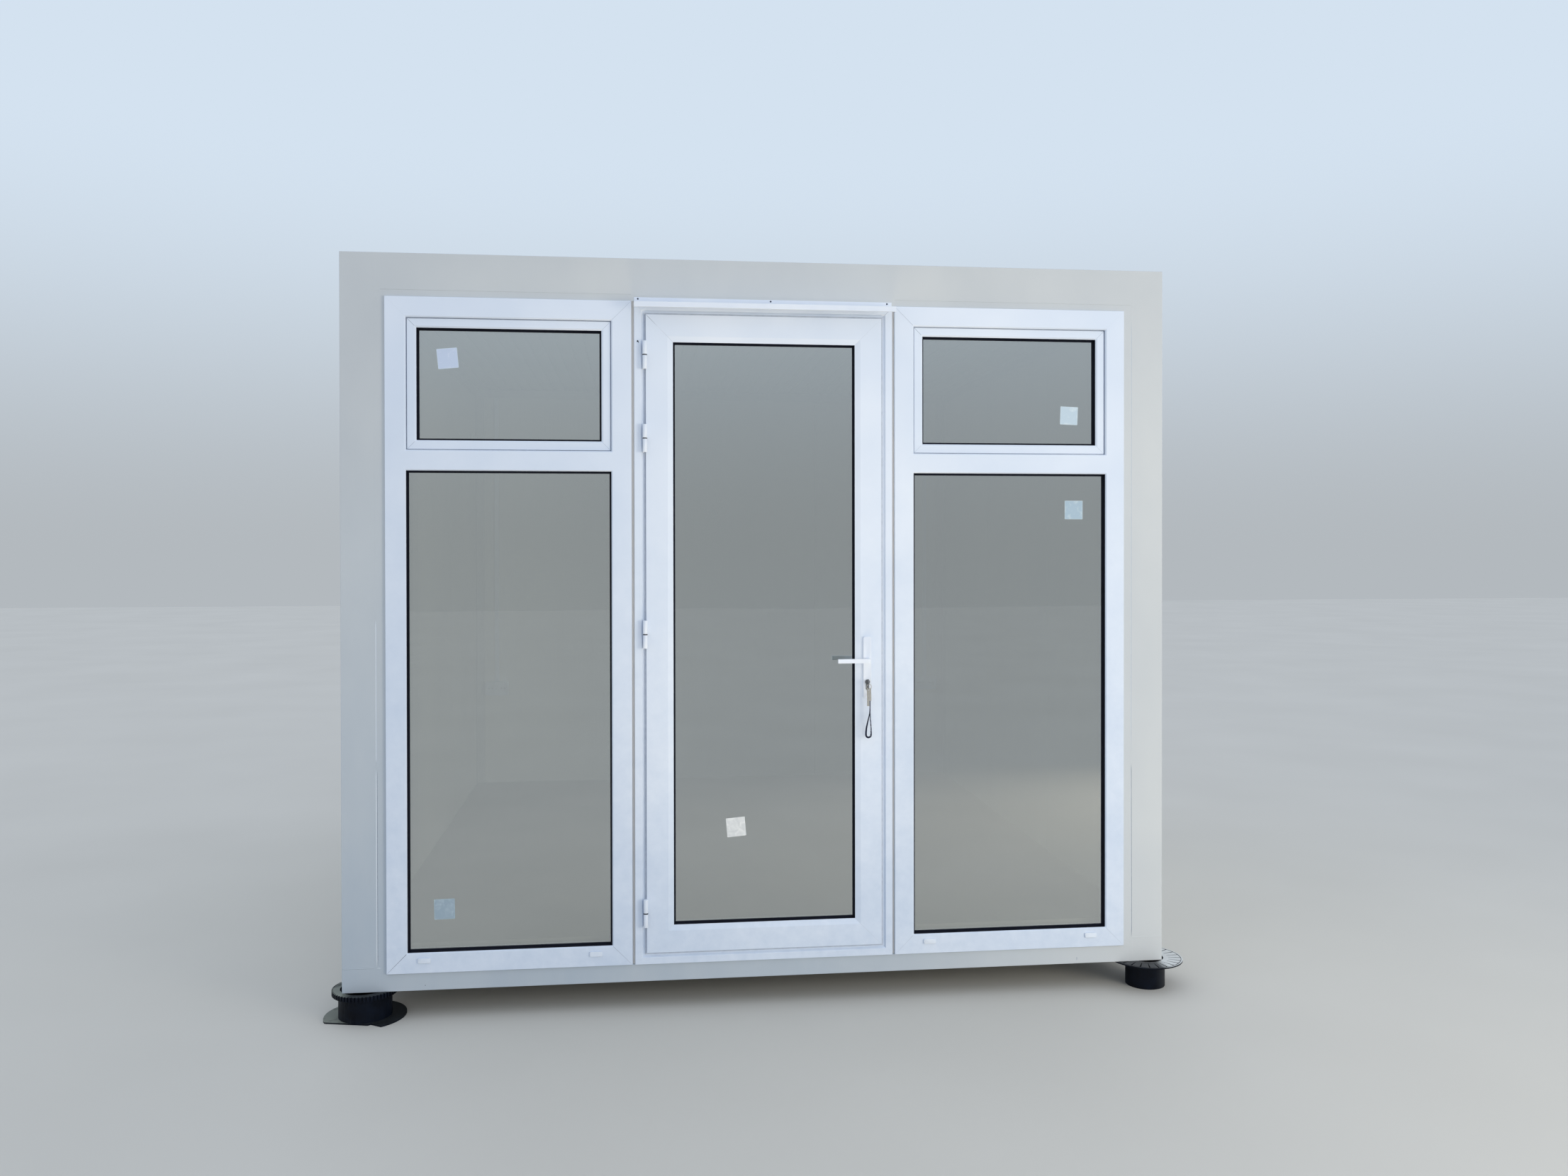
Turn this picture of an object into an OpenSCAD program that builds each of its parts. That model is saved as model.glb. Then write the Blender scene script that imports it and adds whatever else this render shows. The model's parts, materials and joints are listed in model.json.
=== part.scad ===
// Portable site cabin: a welded steel frame on four plastic spools, closed by
// sandwich panels at the sides and back and by a glazed door and two glazed
// window units at the front. Millimetres. X runs along the front, the front
// faces -Y, and the spools stand on z = 0.

/* [Cabin] */
// Width of the cabin along the front, over the posts
cabin_w = 3000; // [2700:10:3600]
// Depth of the cabin from front to back, over the posts
cabin_d = 3200; // [2600:10:4200]
// Height of the steel frame from its underside to its top
cabin_h = 2600; // [2560:10:2900]
// Wall of the folded steel sections
steel_t = 4; // [3:0.5:6]

/* [Posts and rails] */
// Face width of a corner post
post_w = 118; // [100:1:150]
// Height of a bottom corner block
corner_h = 90; // [80:1:120]
// Width of a front corner block, a little wider than the post on it
corner_w = 123; // [118:1:140]
// Height of the side and back base rails, level with the floor
rail_h = 150; // [146:1:190]
// Width of a rail's lower flange
rail_foot = 50; // [30:1:70]
// Height of the roof rails
roof_rail_h = 130; // [122:1:170]
// Width of a roof rail's top flange
gutter_w = 60; // [40:1:90]
// Height of the lip on the top flange
gutter_lip = 20; // [12:1:26]

/* [Walls, floor and roof] */
// Thickness of a sandwich panel
panel_t = 60; // [40:1:80]
// Set-back of the panels from the steel faces
panel_inset = 15; // [8:1:20]
// Cover width of one sandwich panel
panel_module = 1000; // [900:10:1200]
// Joint between two panels
panel_joint = 0.6; // [0.3:0.1:0.9]
// Bevel along the edges of a panel
panel_bevel = 3; // [1:0.5:5]
// Thickness of the floor board
board_t = 22; // [16:1:30]
// Height of a floor joist
joist_h = 100; // [60:1:105]
// Width of a floor joist
joist_w = 50; // [30:1:70]
// Largest distance between joists
joist_pitch = 620; // [400:10:800]
// Height of a roof joist
purlin_h = 40; // [30:1:45]
// Height of the ceiling above the underside of the roof rails
ceiling_rise = 32; // [24:1:37]
// Thickness of the ceiling board
ceiling_t = 10; // [8:1:14]
// Distance between two grooves of the ceiling board
ceiling_pitch = 64; // [40:1:90]
// Height of the ribs of the roof sheet
rib_h = 20; // [12:1:25]
// Distance between two ribs of the roof sheet
rib_pitch = 250; // [180:10:320]
// Thickness of the roof sheet as modelled
sheet_t = 1.5; // [1:0.1:2.5]

/* [Glazed units] */
// Height of the front base rail, which carries the glazed units
sill_z = 64; // [50:1:72]
// Width of the rail's ledge that carries the floor board
sill_ledge = 56; // [40:1:70]
// Play between the units and the steel behind them
sill_play = 4; // [2:0.5:8]
// Gap between a window unit and the roof rail, closed by a strip
head_gap = 24; // [18:1:40]
// Width of the door unit
door_w = 940; // [860:1:1000]
// Offset of the door unit from the middle of the front
door_off = -8; // [-30:1:30]
// Shortfall of the door unit's height against a window unit
door_drop = 6; // [0:1:12]
// Gap between two units, filled by a mullion
unit_gap = 9; // [8:1:20]
// Distance between a post and the unit beside it
unit_margin = 36; // [20:1:60]
// Depth of the frames from front to back
frame_depth = 70; // [66:1:80]
// How far the frames stand proud of the steel faces
frame_proud = 10; // [4:1:20]
// Face width of a window frame member
frame_band = 72; // [66:1:90]
// Depth of the front lip that holds the glass
lip_depth = 20; // [16:1:22]
// Height of the transom
transom_h = 73; // [66:1:90]
// Height of the opening for the upper sash
sash_zone_h = 466; // [360:1:600]
// Face width of the sash that shows
sash_band = 32; // [28:1:50]
// Thickness of a sealed glass unit
pane_t = 24; // [18:1:26]
// Thickness of the black glazing gasket
gasket_t = 4; // [2:0.5:5]
// Width of the gasket that shows
gasket_show = 7; // [6:1:12]
// Width of a drain cap
drain_w = 45; // [30:1:60]
// Distance of a drain cap from the end of the sill member
drain_x = 130; // [100:1:200]

/* [Door] */
// Face width of the outer band of the door frame
jamb_band = 25; // [22:1:28]
// Face width of the whole door frame, behind the leaf
jamb_w = 70; // [68:1:76]
// Gap round the leaf at its outer edge
leaf_gap = 6; // [5.5:0.5:8]
// Gap between the leaf's inner body and the frame
body_gap = 9; // [8.8:0.1:11]
// Face width of a leaf member that shows
leaf_band = 98; // [90:1:110]
// How far the leaf stands proud of its frame
leaf_proud = 3; // [1:0.5:6]
// Thickness of the leaf
leaf_t = 65; // [62:1:72]
// Radius of a hinge barrel
hinge_r = 8; // [6:0.5:9]
// Length of a hinge, both knuckles together
hinge_len = 100; // [80:1:140]
// Radius of a hinge pin
pin_r = 3.8; // [3:0.1:4.5]
// Distance of the barrel's face from the leaf
hinge_off = 5; // [5:0.5:8]
// Distance of the lowest and the highest hinge from the leaf's ends
hinge_end = 147; // [110:1:200]
// Distance between the two upper hinges
hinge_pair = 298; // [240:1:400]
// How far the drip cap reaches out over the door
cap_reach = 86; // [40:1:110]
// Height of the drip cap's front nose
cap_nose = 22; // [12:1:30]
// Height of the screw flange above the units
cap_flange = 15; // [8:1:16]
// Fall of the drip cap from the wall to its nose
cap_fall = 18; // [12:1:24]
// Sheet thickness of the drip cap and of the closing strips
trim_t = 2; // [1.5:0.1:3]

/* [Handle and keys] */
// Height of the lever's axis above the underside of the frame
lever_z = 1151; // [950:1:1250]
// Distance of the handle's centre line from the leaf's edge
handle_inset = 54; // [44:1:58]
// Width of the handle plate
plate_w = 29; // [24:1:32]
// Height of the handle plate
plate_h = 224; // [200:1:260]
// Thickness of the handle plate
plate_t = 8; // [6:1:10]
// Length of the lever from its axis
lever_len = 115; // [100:1:140]
// Height of the lever's grip
grip_h = 15; // [14:1:22]
// Thickness of the lever's grip
grip_t = 12; // [10:1:16]
// Distance of the grip from the handle plate
grip_off = 34; // [28:1:42]
// Distance from the lever's axis down to the lock
lock_drop = 80; // [70:1:92]
// Radius of the lock's round barrel
lock_r = 8.5; // [8:0.1:9]
// Radius of the key ring
ring_r = 9; // [8:0.5:14]

/* [Inner trims and sockets] */
// Height of the cornice strip below the ceiling
cornice_h = 49; // [40:1:70]
// Width of the angle strip in a back corner
nook_w = 25; // [15:1:40]
// Thickness of the cornice and the angle strips
nook_t = 2; // [1:0.5:4]
// Width of a cable duct on the back wall
duct_w = 24; // [16:1:40]
// Depth of a cable duct
duct_d = 12; // [8:1:20]
// Distance of a duct's middle from the side wall
duct_in = 119; // [90:1:300]
// Width of a double socket
socket_w = 133; // [110:1:160]
// Height of a double socket
socket_h = 83; // [70:1:100]
// Depth of a double socket
socket_d = 38; // [30:1:50]
// Height of a socket's middle above the underside of the frame
socket_z = 717; // [400:1:1200]

/* [Supports] */
// Height of a spool
spool_h = 103; // [90:1:120]
// Radius of a spool's flange
flange_r = 138; // [136:1:150]
// Thickness of a spool's flange
flange_t = 5; // [4:0.5:8]
// Radius of a spool's drum
drum_r = 73; // [65:1:80]
// Wall of a spool's drum
drum_t = 6; // [4:0.5:10]
// Number of slots in a flange
slot_count = 24; // [18:1:36]
// Radius of the drum of the worn spool
worn_drum_r = 92; // [80:1:104]
// Radius of the ribbed collar left on the worn spool
collar_r = 114; // [108:1:130]
// Thickness of that collar
collar_t = 17; // [12:1:24]
// Number of notches round the collar
notch_count = 56; // [30:1:60]
// Radius of the lower flange of the worn spool
worn_flange_r = 142; // [136:1:150]

/* [Hidden] */
$fn = 48;

steel_colour = "#d9d7cc";
panel_colour = "#eceae2";
pvc_colour = "#f3f4f6";
black_colour = "#17181b";
glass_colour = "#8d9a98";
zinc_colour = "#b9bdbf";

// seats: parts that rest on each other meet face to face, loose ones keep this
seat = 0.3;
half_w = cabin_w / 2;
half_d = cabin_d / 2;
// the line where the inner wall faces stand, from the steel faces
wall_in = panel_inset + panel_t;
roof_z = cabin_h - roof_rail_h;
ceiling_z = roof_z + ceiling_rise;
cornice_z = ceiling_z - cornice_h;
span_w = cabin_w - 2 * post_w;
span_d = cabin_d - 2 * post_w;

unit_h = roof_z - sill_z - head_gap;
window_x = half_w - post_w - unit_margin;
door_x = door_off - door_w / 2;
frame_y = -half_d - frame_proud;
frame_back = frame_depth - frame_proud;
board_z = rail_h - board_t;
sill_back = frame_back + sill_play;
door_h = unit_h - door_drop;
lower_zone_h = unit_h - 2 * frame_band - transom_h - sash_zone_h;

// width of a window unit and middle of its gap to the door unit: the side is -1 for
// left, 1 for right
function window_w(side) = window_x - door_w / 2 - unit_gap - side * door_off;
function gap_x(side) = door_off + side * (door_w + unit_gap) / 2;

// glazing rebate of the frames, behind the front lip
rebate = 14;
step_x = 4;
pane_play = 3;

// upper sash, which shuts against the frame's lip from inside
sash_set = 10;
sash_lap = 11;
sash_gap = 3;
sash_h = sash_zone_h + 2 * sash_lap;
sash_z = sill_z + frame_band + lower_zone_h + transom_h - sash_lap;
function sash_w(side) = window_w(side) - 2 * (frame_band - sash_lap);

// door frame: outer band, slope, step, then the rebate that the leaf shuts on
slope_w = 5;
step_v = 8;
jamb_step = jamb_band + slope_w + 5;
rebate_v = 22;
leaf_edge = jamb_step + leaf_gap;
leaf_w = door_w - 2 * leaf_edge;
leaf_h = door_h - 2 * leaf_edge;
flange_lap = jamb_w + body_gap - leaf_edge;
leaf_lip = 19;
leaf_face_y = frame_y - leaf_proud;
hinge_out = 3;
hinge_x = door_x + leaf_edge - hinge_out;
hinge_y = leaf_face_y - hinge_off - hinge_r;
hinge_low = sill_z + leaf_edge + hinge_end;
hinge_top = sill_z + leaf_edge + leaf_h - hinge_end;
hinge_zs = [hinge_low, (hinge_low + hinge_top) / 2, hinge_top - hinge_pair, hinge_top];
washer_t = 3;
groove = 1.5;
pin_play = 0.3;
pin_end = 6;

handle_x = door_x + door_w - leaf_edge - handle_inset;
plate_drop = 27;
plate_r = 6;
plate_z = lever_z - plate_drop;
lock_z = lever_z - lock_drop;
spindle_r = 4;
bore_play = 3;
neck_play = 0.4;
lock_play = 0.5;
lock_proud = 4;
lobe_r = 5;
lobe_drop = 25;

// the spools: distances of their centres from the cabin's faces
spool_in_x = 46;
spool_in_y = 50;
worn_in_x = 67;
worn_in_y = 64;

// the lanyard's route: out of the ferrule, down, round a loop and back up behind
lanyard_r = 1.2;
loop_r = 9.3;
loop_mid = [366.9, -1641.5, 983];
lanyard_down = [[372.6, -1642.8, 1107], [372.6, -1642.8, 1096], [372.3, -1642.8, 1083],
                [371.6, -1642.7, 1071], [370.2, -1642.5, 1059], [367.9, -1642.3, 1047],
                [365, -1642.1, 1035], [362.2, -1641.9, 1023], [359.8, -1641.8, 1011],
                [358.2, -1641.6, 999], [357.6, -1641.5, 991]];
lanyard_up = [[376.4, -1641.4, 992], [376.4, -1641.3, 1002], [375.9, -1641.2, 1013],
              [375.1, -1641, 1025], [374.3, -1640.8, 1037], [373.6, -1640.6, 1049],
              [373.1, -1640.4, 1061], [372.9, -1640.3, 1073], [372.8, -1640.2, 1085],
              [372.8, -1640.2, 1097], [372.8, -1640.2, 1107]];
lanyard_loop = [for (a = [180 : 30 : 360]) loop_mid + loop_r * [cos(a), 0, sin(a)]];
lanyard_route = concat(lanyard_down, lanyard_loop, lanyard_up);

// a section carried along X from 0 to len; the section is drawn as [y, z]
module along_x(len) {
    rotate([90, 0, 90]) linear_extrude(len) children();
}

// a section carried along Y from 0 to len; the section is drawn as [x, z]
module along_y(len) {
    translate([0, len, 0]) rotate([90, 0, 0]) linear_extrude(len) children();
}

// a profile line and its mirror image, which stand for two members that face each
// other across a frame of the given size; a line lists [depth, distance inwards]
module facing(size, line) {
    far = [for (i = [len(line) - 1 : -1 : 0]) [line[i][0], size - line[i][1]]];
    polygon(concat(line, far));
}

// the block that has one profile line on all four sides
module profile_block(w, h, line) {
    intersection() {
        translate([-1, 0, 0]) along_x(w + 2) facing(h, line);
        translate([0, 0, -1]) linear_extrude(h + 2) mirror([1, -1]) facing(w, line);
    }
}

// a frame of four members, mitred at the corners: its outer block less its inner one
module profile_frame(w, h, outer, inner) {
    first = inner[0];
    last = inner[len(inner) - 1];
    through = concat([[first[0] - 1, first[1]]], inner, [[last[0] + 1, last[1]]]);
    difference() {
        profile_block(w, h, outer);
        profile_block(w, h, through);
    }
}

// a flat ring: outer size w by h, members of the given width, from y to y + t
module flat_ring(w, h, band, t) {
    along_y(t) difference() {
        square([w, h]);
        translate([band, band]) square([w - 2 * band, h - 2 * band]);
    }
}

// children at all four corners, mirrored so that +X and +Y point inwards
module at_corner(sx, sy) {
    translate([sx * half_w, sy * half_d, spool_h])
        mirror([sx > 0 ? 1 : 0, 0, 0]) mirror([0, sy > 0 ? 1 : 0, 0]) children();
}

// bottom corner block: plates on the two outer faces, closed above and below
module base_corner(w) {
    difference() {
        cube([w, post_w, corner_h]);
        translate([steel_t, steel_t, steel_t])
            cube([w, post_w, corner_h - 2 * steel_t]);
    }
}

module base_corners() {
    color(steel_colour)
        for (sx = [-1, 1], sy = [-1, 1])
            at_corner(sx, sy) base_corner(sy < 0 ? corner_w : post_w);
}

// closed L section of a post: the panels butt on its two ends
module post_section(t) {
    polygon([[t, t], [post_w - t, t], [post_w - t, wall_in - t],
             [wall_in - t, wall_in - t], [wall_in - t, post_w - t], [t, post_w - t]]);
}

module post(sx, sy) {
    at_corner(sx, sy) translate([0, 0, corner_h]) {
        linear_extrude(cabin_h - corner_h) difference() {
            post_section(0);
            post_section(steel_t);
        }
        translate([0, 0, cabin_h - corner_h - steel_t])
            cube([post_w, post_w, steel_t]);
    }
}

module post_front_left() { color(steel_colour) post(-1, -1); }
module post_front_right() { color(steel_colour) post(1, -1); }
module post_back_left() { color(steel_colour) post(-1, 1); }
module post_back_right() { color(steel_colour) post(1, 1); }

// base rail of the sides and back: outer web, foot, and top flange for the panels
module base_section() {
    polygon([[0, 0], [rail_foot, 0], [rail_foot, steel_t], [steel_t, steel_t],
             [steel_t, rail_h - steel_t], [wall_in, rail_h - steel_t],
             [wall_in, rail_h], [0, rail_h]]);
}

// front base rail: low outer web, shelf for the units, then up to the floor
module sill_section() {
    t = steel_t;
    web = sill_back;
    ledge = web + t + sill_ledge;
    polygon([[0, 0], [rail_foot, 0], [rail_foot, t], [t, t], [t, sill_z - t],
             [web + t, sill_z - t], [web + t, board_z - t], [ledge, board_z - t],
             [ledge, board_z], [web, board_z], [web, sill_z], [0, sill_z]]);
}

module base_rail_front() {
    color(steel_colour)
        translate([-half_w + corner_w, -half_d, spool_h])
            along_x(cabin_w - 2 * corner_w) sill_section();
}

module base_rail_back() {
    color(steel_colour)
        translate([-span_w / 2, half_d, spool_h])
            mirror([0, 1, 0]) along_x(span_w) base_section();
}

module side_base_rail() {
    translate([-half_w, -span_d / 2, spool_h]) along_y(span_d) base_section();
}

module base_rails_side() {
    color(steel_colour) {
        side_base_rail();
        mirror([1, 0, 0]) side_base_rail();
    }
}

// floor: joists from web to web, and a board on them
joist_play = 6;
joist_first = -half_d + sill_back + steel_t + sill_ledge + joist_play;
joist_last = half_d - post_w - joist_w - joist_play;
joist_n = ceil((joist_last - joist_first) / joist_pitch);

module floor_joist() {
    along_x(cabin_w - 2 * steel_t) difference() {
        square([joist_w, joist_h]);
        translate([steel_t, steel_t]) square([joist_w, joist_h - 2 * steel_t]);
    }
}

module floor_joists() {
    color(zinc_colour)
        for (i = [0 : joist_n])
            translate([-half_w + steel_t,
                       joist_first + i * (joist_last - joist_first) / joist_n,
                       spool_h + board_z - joist_h])
                floor_joist();
}

module floor_board() {
    gap = wall_in + seat;
    color("#8f8d86")
        translate([0, 0, spool_h + board_z]) difference() {
            translate([-half_w + gap, -half_d + sill_back, 0])
                cube([cabin_w - 2 * gap, cabin_d - sill_back - gap, board_t]);
            for (sx = [-1, 1])
                translate([sx * half_w, -half_d, board_t / 2])
                    cube([2 * (post_w + seat), 2 * gap, board_t + 2], center = true);
        }
}

// roof rail: outer web, lower flange for the panels, upper flange with a lip
module roof_section() {
    h = roof_rail_h;
    t = steel_t;
    polygon([[0, 0], [wall_in, 0], [wall_in, t], [t, t], [t, h - t],
             [gutter_w - t, h - t], [gutter_w - t, h - gutter_lip],
             [gutter_w, h - gutter_lip], [gutter_w, h], [0, h]]);
}

module roof_rail_front() {
    color(steel_colour)
        translate([-span_w / 2, -half_d, spool_h + roof_z])
            along_x(span_w) roof_section();
}

module roof_rail_back() { mirror([0, 1, 0]) roof_rail_front(); }

module side_roof_rail() {
    translate([-half_w, -span_d / 2, spool_h + roof_z]) along_y(span_d) roof_section();
}

module roof_rails_side() {
    color(steel_colour) {
        side_roof_rail();
        mirror([1, 0, 0]) side_roof_rail();
    }
}

// roof joists from web to web of the side rails, over the ceiling
purlin_n = 4;
purlin_z = ceiling_z + ceiling_t;

module roof_joists() {
    color(zinc_colour)
        for (i = [0 : purlin_n - 1])
            translate([-half_w + steel_t,
                       (i - (purlin_n - 1) / 2) * span_d / purlin_n - joist_w / 2,
                       spool_h + purlin_z])
                along_x(cabin_w - 2 * steel_t) difference() {
                    square([joist_w, purlin_h]);
                    translate([steel_t, steel_t])
                        square([joist_w, purlin_h - 2 * steel_t]);
                }
}

// trapezoidal roof sheet: ribs run from front to back
sheet_play = 6;
sheet_w = cabin_w - 2 * (steel_t + sheet_play);
sheet_d = cabin_d - 2 * (steel_t + sheet_play);
rib_foot = 60;
rib_top = 30;
rib_n = floor((sheet_w - rib_foot) / rib_pitch);

// one wave of the sheet, from the middle of one pan to the middle of the next
function wave(i, up) =
    let (x = (i - (rib_n - 1) / 2) * rib_pitch, k = up ? sheet_t / 2 : 0)
    [[x - rib_foot / 2 - k, up], [x - rib_top / 2 - k, rib_h + up],
     [x + rib_top / 2 + k, rib_h + up], [x + rib_foot / 2 + k, up]];

module sheet_section() {
    top = [for (i = [0 : rib_n - 1], p = wave(i, sheet_t)) p];
    low = [for (i = [0 : rib_n - 1], p = wave(i, 0)) p];
    back = [for (i = [len(low) - 1 : -1 : 0]) low[i]];
    polygon(concat([[-sheet_w / 2, 0], [-sheet_w / 2, sheet_t]], top,
                   [[sheet_w / 2, sheet_t], [sheet_w / 2, 0]], back));
}

// the sheet reaches under the rails' lips and is cut out round the posts
module roof_sheet() {
    color(zinc_colour)
        translate([0, 0, spool_h + purlin_z + purlin_h]) difference() {
            translate([0, -sheet_d / 2, 0]) along_y(sheet_d) sheet_section();
            for (sx = [-1, 1], sy = [-1, 1])
                translate([sx * half_w, sy * half_d, rib_h / 2])
                    cube([2 * (post_w + seat), 2 * (post_w + seat), 2 * rib_h],
                         center = true);
        }
}

// ceiling board with small grooves below, which run from front to back
ceiling_w = cabin_w - 2 * (wall_in + seat);
ceiling_groove = 16;
ceiling_groove_d = 6;
ceiling_n = floor((ceiling_w - ceiling_groove) / ceiling_pitch);

module ceiling_section() {
    a = ceiling_groove / 2;
    b = a - 3;
    d = ceiling_groove_d;
    difference() {
        translate([-ceiling_w / 2, 0]) square([ceiling_w, ceiling_t]);
        for (i = [0 : ceiling_n]) translate([(i - ceiling_n / 2) * ceiling_pitch, 0])
            polygon([[-a, -1], [-a, 0], [-b, d], [b, d], [a, 0], [a, -1]]);
    }
}

module ceiling_board() {
    len = cabin_d - 2 * (wall_in + seat);
    color(panel_colour)
        translate([0, -len / 2, spool_h + ceiling_z]) along_y(len) ceiling_section();
}

// one sandwich panel, drawn as [x, y], with bevelled joint edges on both faces
module panel_section(w) {
    b = panel_bevel;
    polygon([[0, b], [b, 0], [w - b, 0], [w, b], [w, panel_t - b], [w - b, panel_t],
             [b, panel_t], [0, panel_t - b]]);
}

// a run of panels along X from 0 to len, the last one cut to what is left
module panel_run(len) {
    n = ceil(len / panel_module);
    for (i = [0 : n - 1]) {
        w = i < n - 1 ? panel_module - panel_joint : len - i * panel_module;
        translate([i * panel_module, 0, 0])
            linear_extrude(roof_z - rail_h) panel_section(w);
    }
}

module wall_back() {
    color(panel_colour)
        translate([-span_w / 2, half_d - panel_inset - panel_t, spool_h + rail_h])
            panel_run(span_w);
}

module side_wall() {
    translate([-half_w + panel_inset + panel_t, -span_d / 2, spool_h + rail_h])
        rotate([0, 0, 90]) panel_run(span_d);
}

module wall_left() { color(panel_colour) side_wall(); }
module wall_right() { color(panel_colour) mirror([1, 0, 0]) side_wall(); }

// mullions: a thin web in the gap between two units, and behind it a tube up to the
// ceiling with a notch for the flange of the roof rail
tube_w = 60;
tube_d = 40;
web_weld = 2;

module mullion() {
    y0 = frame_back + seat;
    translate([-unit_gap / 2 + seat, steel_t, sill_z])
        cube([unit_gap - 2 * seat, y0 - steel_t + web_weld, roof_z - sill_z]);
    difference() {
        translate([0, y0 + tube_d / 2, rail_h])
            linear_extrude(ceiling_z - rail_h) difference() {
                square([tube_w, tube_d], center = true);
                square([tube_w - 2 * steel_t, tube_d - 2 * steel_t], center = true);
            }
        translate([-tube_w, 0, roof_z - seat])
            cube([2 * tube_w, wall_in + seat, steel_t + 2 * seat]);
    }
}

module front_mullions() {
    color(steel_colour)
        for (s = [-1, 1]) translate([gap_x(s), -half_d, spool_h]) mullion();
}

// inner trims: a cornice strip round the room and an angle strip in the back corners
module inner_trims() {
    w = cabin_w - 2 * wall_in;
    d = cabin_d - 2 * wall_in;
    color(steel_colour) {
        translate([0, 0, spool_h + cornice_z]) difference() {
            linear_extrude(cornice_h) difference() {
                square([w, d], center = true);
                square([w - 2 * nook_t, d - 2 * nook_t], center = true);
            }
            for (s = [-1, 1]) translate([gap_x(s), -d / 2, cornice_h / 2])
                cube([tube_w + 2 * seat, 4 * nook_t, 2 * cornice_h], center = true);
        }
        for (sx = [-1, 1]) at_corner(sx, 1) translate([wall_in, wall_in, rail_h])
            linear_extrude(cornice_z - rail_h) {
                square([nook_w, nook_t]);
                square([nook_t, nook_w]);
            }
    }
}

// double sockets on the back wall, each with a duct that comes down from the cornice
well_r = 20;
well_d = 14;
socket_round = 6;

module wall_socket() {
    rotate([90, 0, 0]) difference() {
        linear_extrude(socket_d) round_plate(socket_w, socket_h, socket_round);
        for (s = [-1, 1])
            translate([s * socket_w / 4, 0, socket_d - well_d])
                cylinder(h = well_d + 1, r = well_r);
    }
    top = socket_h / 2;
    translate([-duct_w / 2, -duct_d, top])
        cube([duct_w, duct_d, cornice_z - socket_z - top]);
}

module wall_sockets() {
    color(pvc_colour)
        for (s = [-1, 1])
            translate([s * (half_w - wall_in - duct_in), half_d - wall_in,
                       spool_h + socket_z])
                wall_socket();
}

// folded strips that close the gap between the posts or the roof rail and a unit
seam = 0.8;
slit_w = 5;
slit_d = 6;

module trim_section(w) {
    polygon([[0, 0], [w, 0], [w, frame_back], [w - trim_t, frame_back],
             [w - trim_t, trim_t], [0, trim_t]]);
}

// the strip beside a post leaves a slit along it, and is cut away at the corner block
module side_trim() {
    w = unit_margin - seat;
    translate([-half_w + post_w, -half_d, spool_h + sill_z]) difference() {
        linear_extrude(roof_z - sill_z) {
            translate([slit_w, 0]) trim_section(w - slit_w);
            translate([slit_w, 0]) square([trim_t, slit_d + trim_t]);
            translate([0, slit_d]) square([slit_w + trim_t, trim_t]);
        }
        translate([-1, -1, -1])
            cube([corner_w - post_w + seat + 1, post_w, corner_h - sill_z + seat + 1]);
    }
}

// a strip over a unit: its face ends at a seam below the roof rail, its return lies
// on the unit
module head_trim(x, len, drop) {
    translate([x, -half_d, spool_h + roof_z - seam])
        along_x(len) mirror([0, 1]) mirror([1, -1]) trim_section(drop - seam);
}

module front_trims() {
    color(steel_colour) {
        side_trim();
        mirror([1, 0, 0]) side_trim();
        head_trim(-window_x, window_w(-1), head_gap);
        head_trim(window_x - window_w(1), window_w(1), head_gap);
        head_trim(door_x, door_w, head_gap + door_drop);
    }
}

// window frame member: square outside, and inside a lip that holds the glass
edge_in = 1;
window_outer = [[0, edge_in], [edge_in, 0], [frame_depth, 0]];
window_inner = [[0, frame_band - step_x], [step_x, frame_band], [lip_depth, frame_band],
                [lip_depth, frame_band - rebate], [frame_depth, frame_band - rebate]];

module transom_section() {
    t = transom_h;
    polygon([[0, step_x], [step_x, 0], [lip_depth, 0], [lip_depth, rebate],
             [frame_depth, rebate], [frame_depth, t - rebate],
             [lip_depth, t - rebate], [lip_depth, t], [step_x, t], [0, t - step_x]]);
}

// children at a window unit: the side is -1 for left, 1 for right
module at_window(side) {
    translate([side > 0 ? window_x - window_w(1) : -window_x, frame_y, spool_h + sill_z])
        children();
}

module window_frame(side) {
    w = window_w(side);
    color(pvc_colour) at_window(side) {
        profile_frame(w, unit_h, window_outer, window_inner);
        translate([frame_band - rebate, 0, frame_band + lower_zone_h])
            along_x(w - 2 * (frame_band - rebate)) transom_section();
    }
}

module window_frame_left() { window_frame(-1); }
module window_frame_right() { window_frame(1); }

// upper sash: a nose that shows inside the lip, and a body behind the lip
sash_front = 30;
sash_back = 80;

sash_nose = sash_lap + sash_gap;
sash_show = sash_nose + sash_band;
sash_outer = [[sash_set, sash_nose], [lip_depth + seat, sash_nose], [lip_depth + seat, 0],
              [sash_back, 0]];
sash_inner = [[sash_set, sash_show - 6], [sash_set + step_x, sash_show],
              [sash_front, sash_show], [sash_front, sash_show - rebate],
              [sash_back, sash_show - rebate]];

module at_sash() {
    translate([frame_band - sash_lap, 0, sash_z - sill_z]) children();
}

module window_sashes() {
    color(pvc_colour)
        for (side = [-1, 1]) at_window(side) at_sash()
            profile_frame(sash_w(side), sash_h, sash_outer, sash_inner);
}

// insets of glass, gasket and bead from the edge of the lower opening
low_pane = frame_band - rebate + pane_play;
gasket_play = 2;
low_gasket = frame_band - rebate + gasket_play;
top_pane = sash_show - rebate + pane_play;

module inset_plate(w, h, inset, t) {
    translate([inset, 0, inset]) cube([w - 2 * inset, t, h - 2 * inset]);
}

module lower_place() {
    translate([0, lip_depth, 0]) children();
}

module upper_place() {
    at_sash() translate([0, sash_front, 0]) children();
}

low_h = 2 * frame_band + lower_zone_h;

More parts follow.
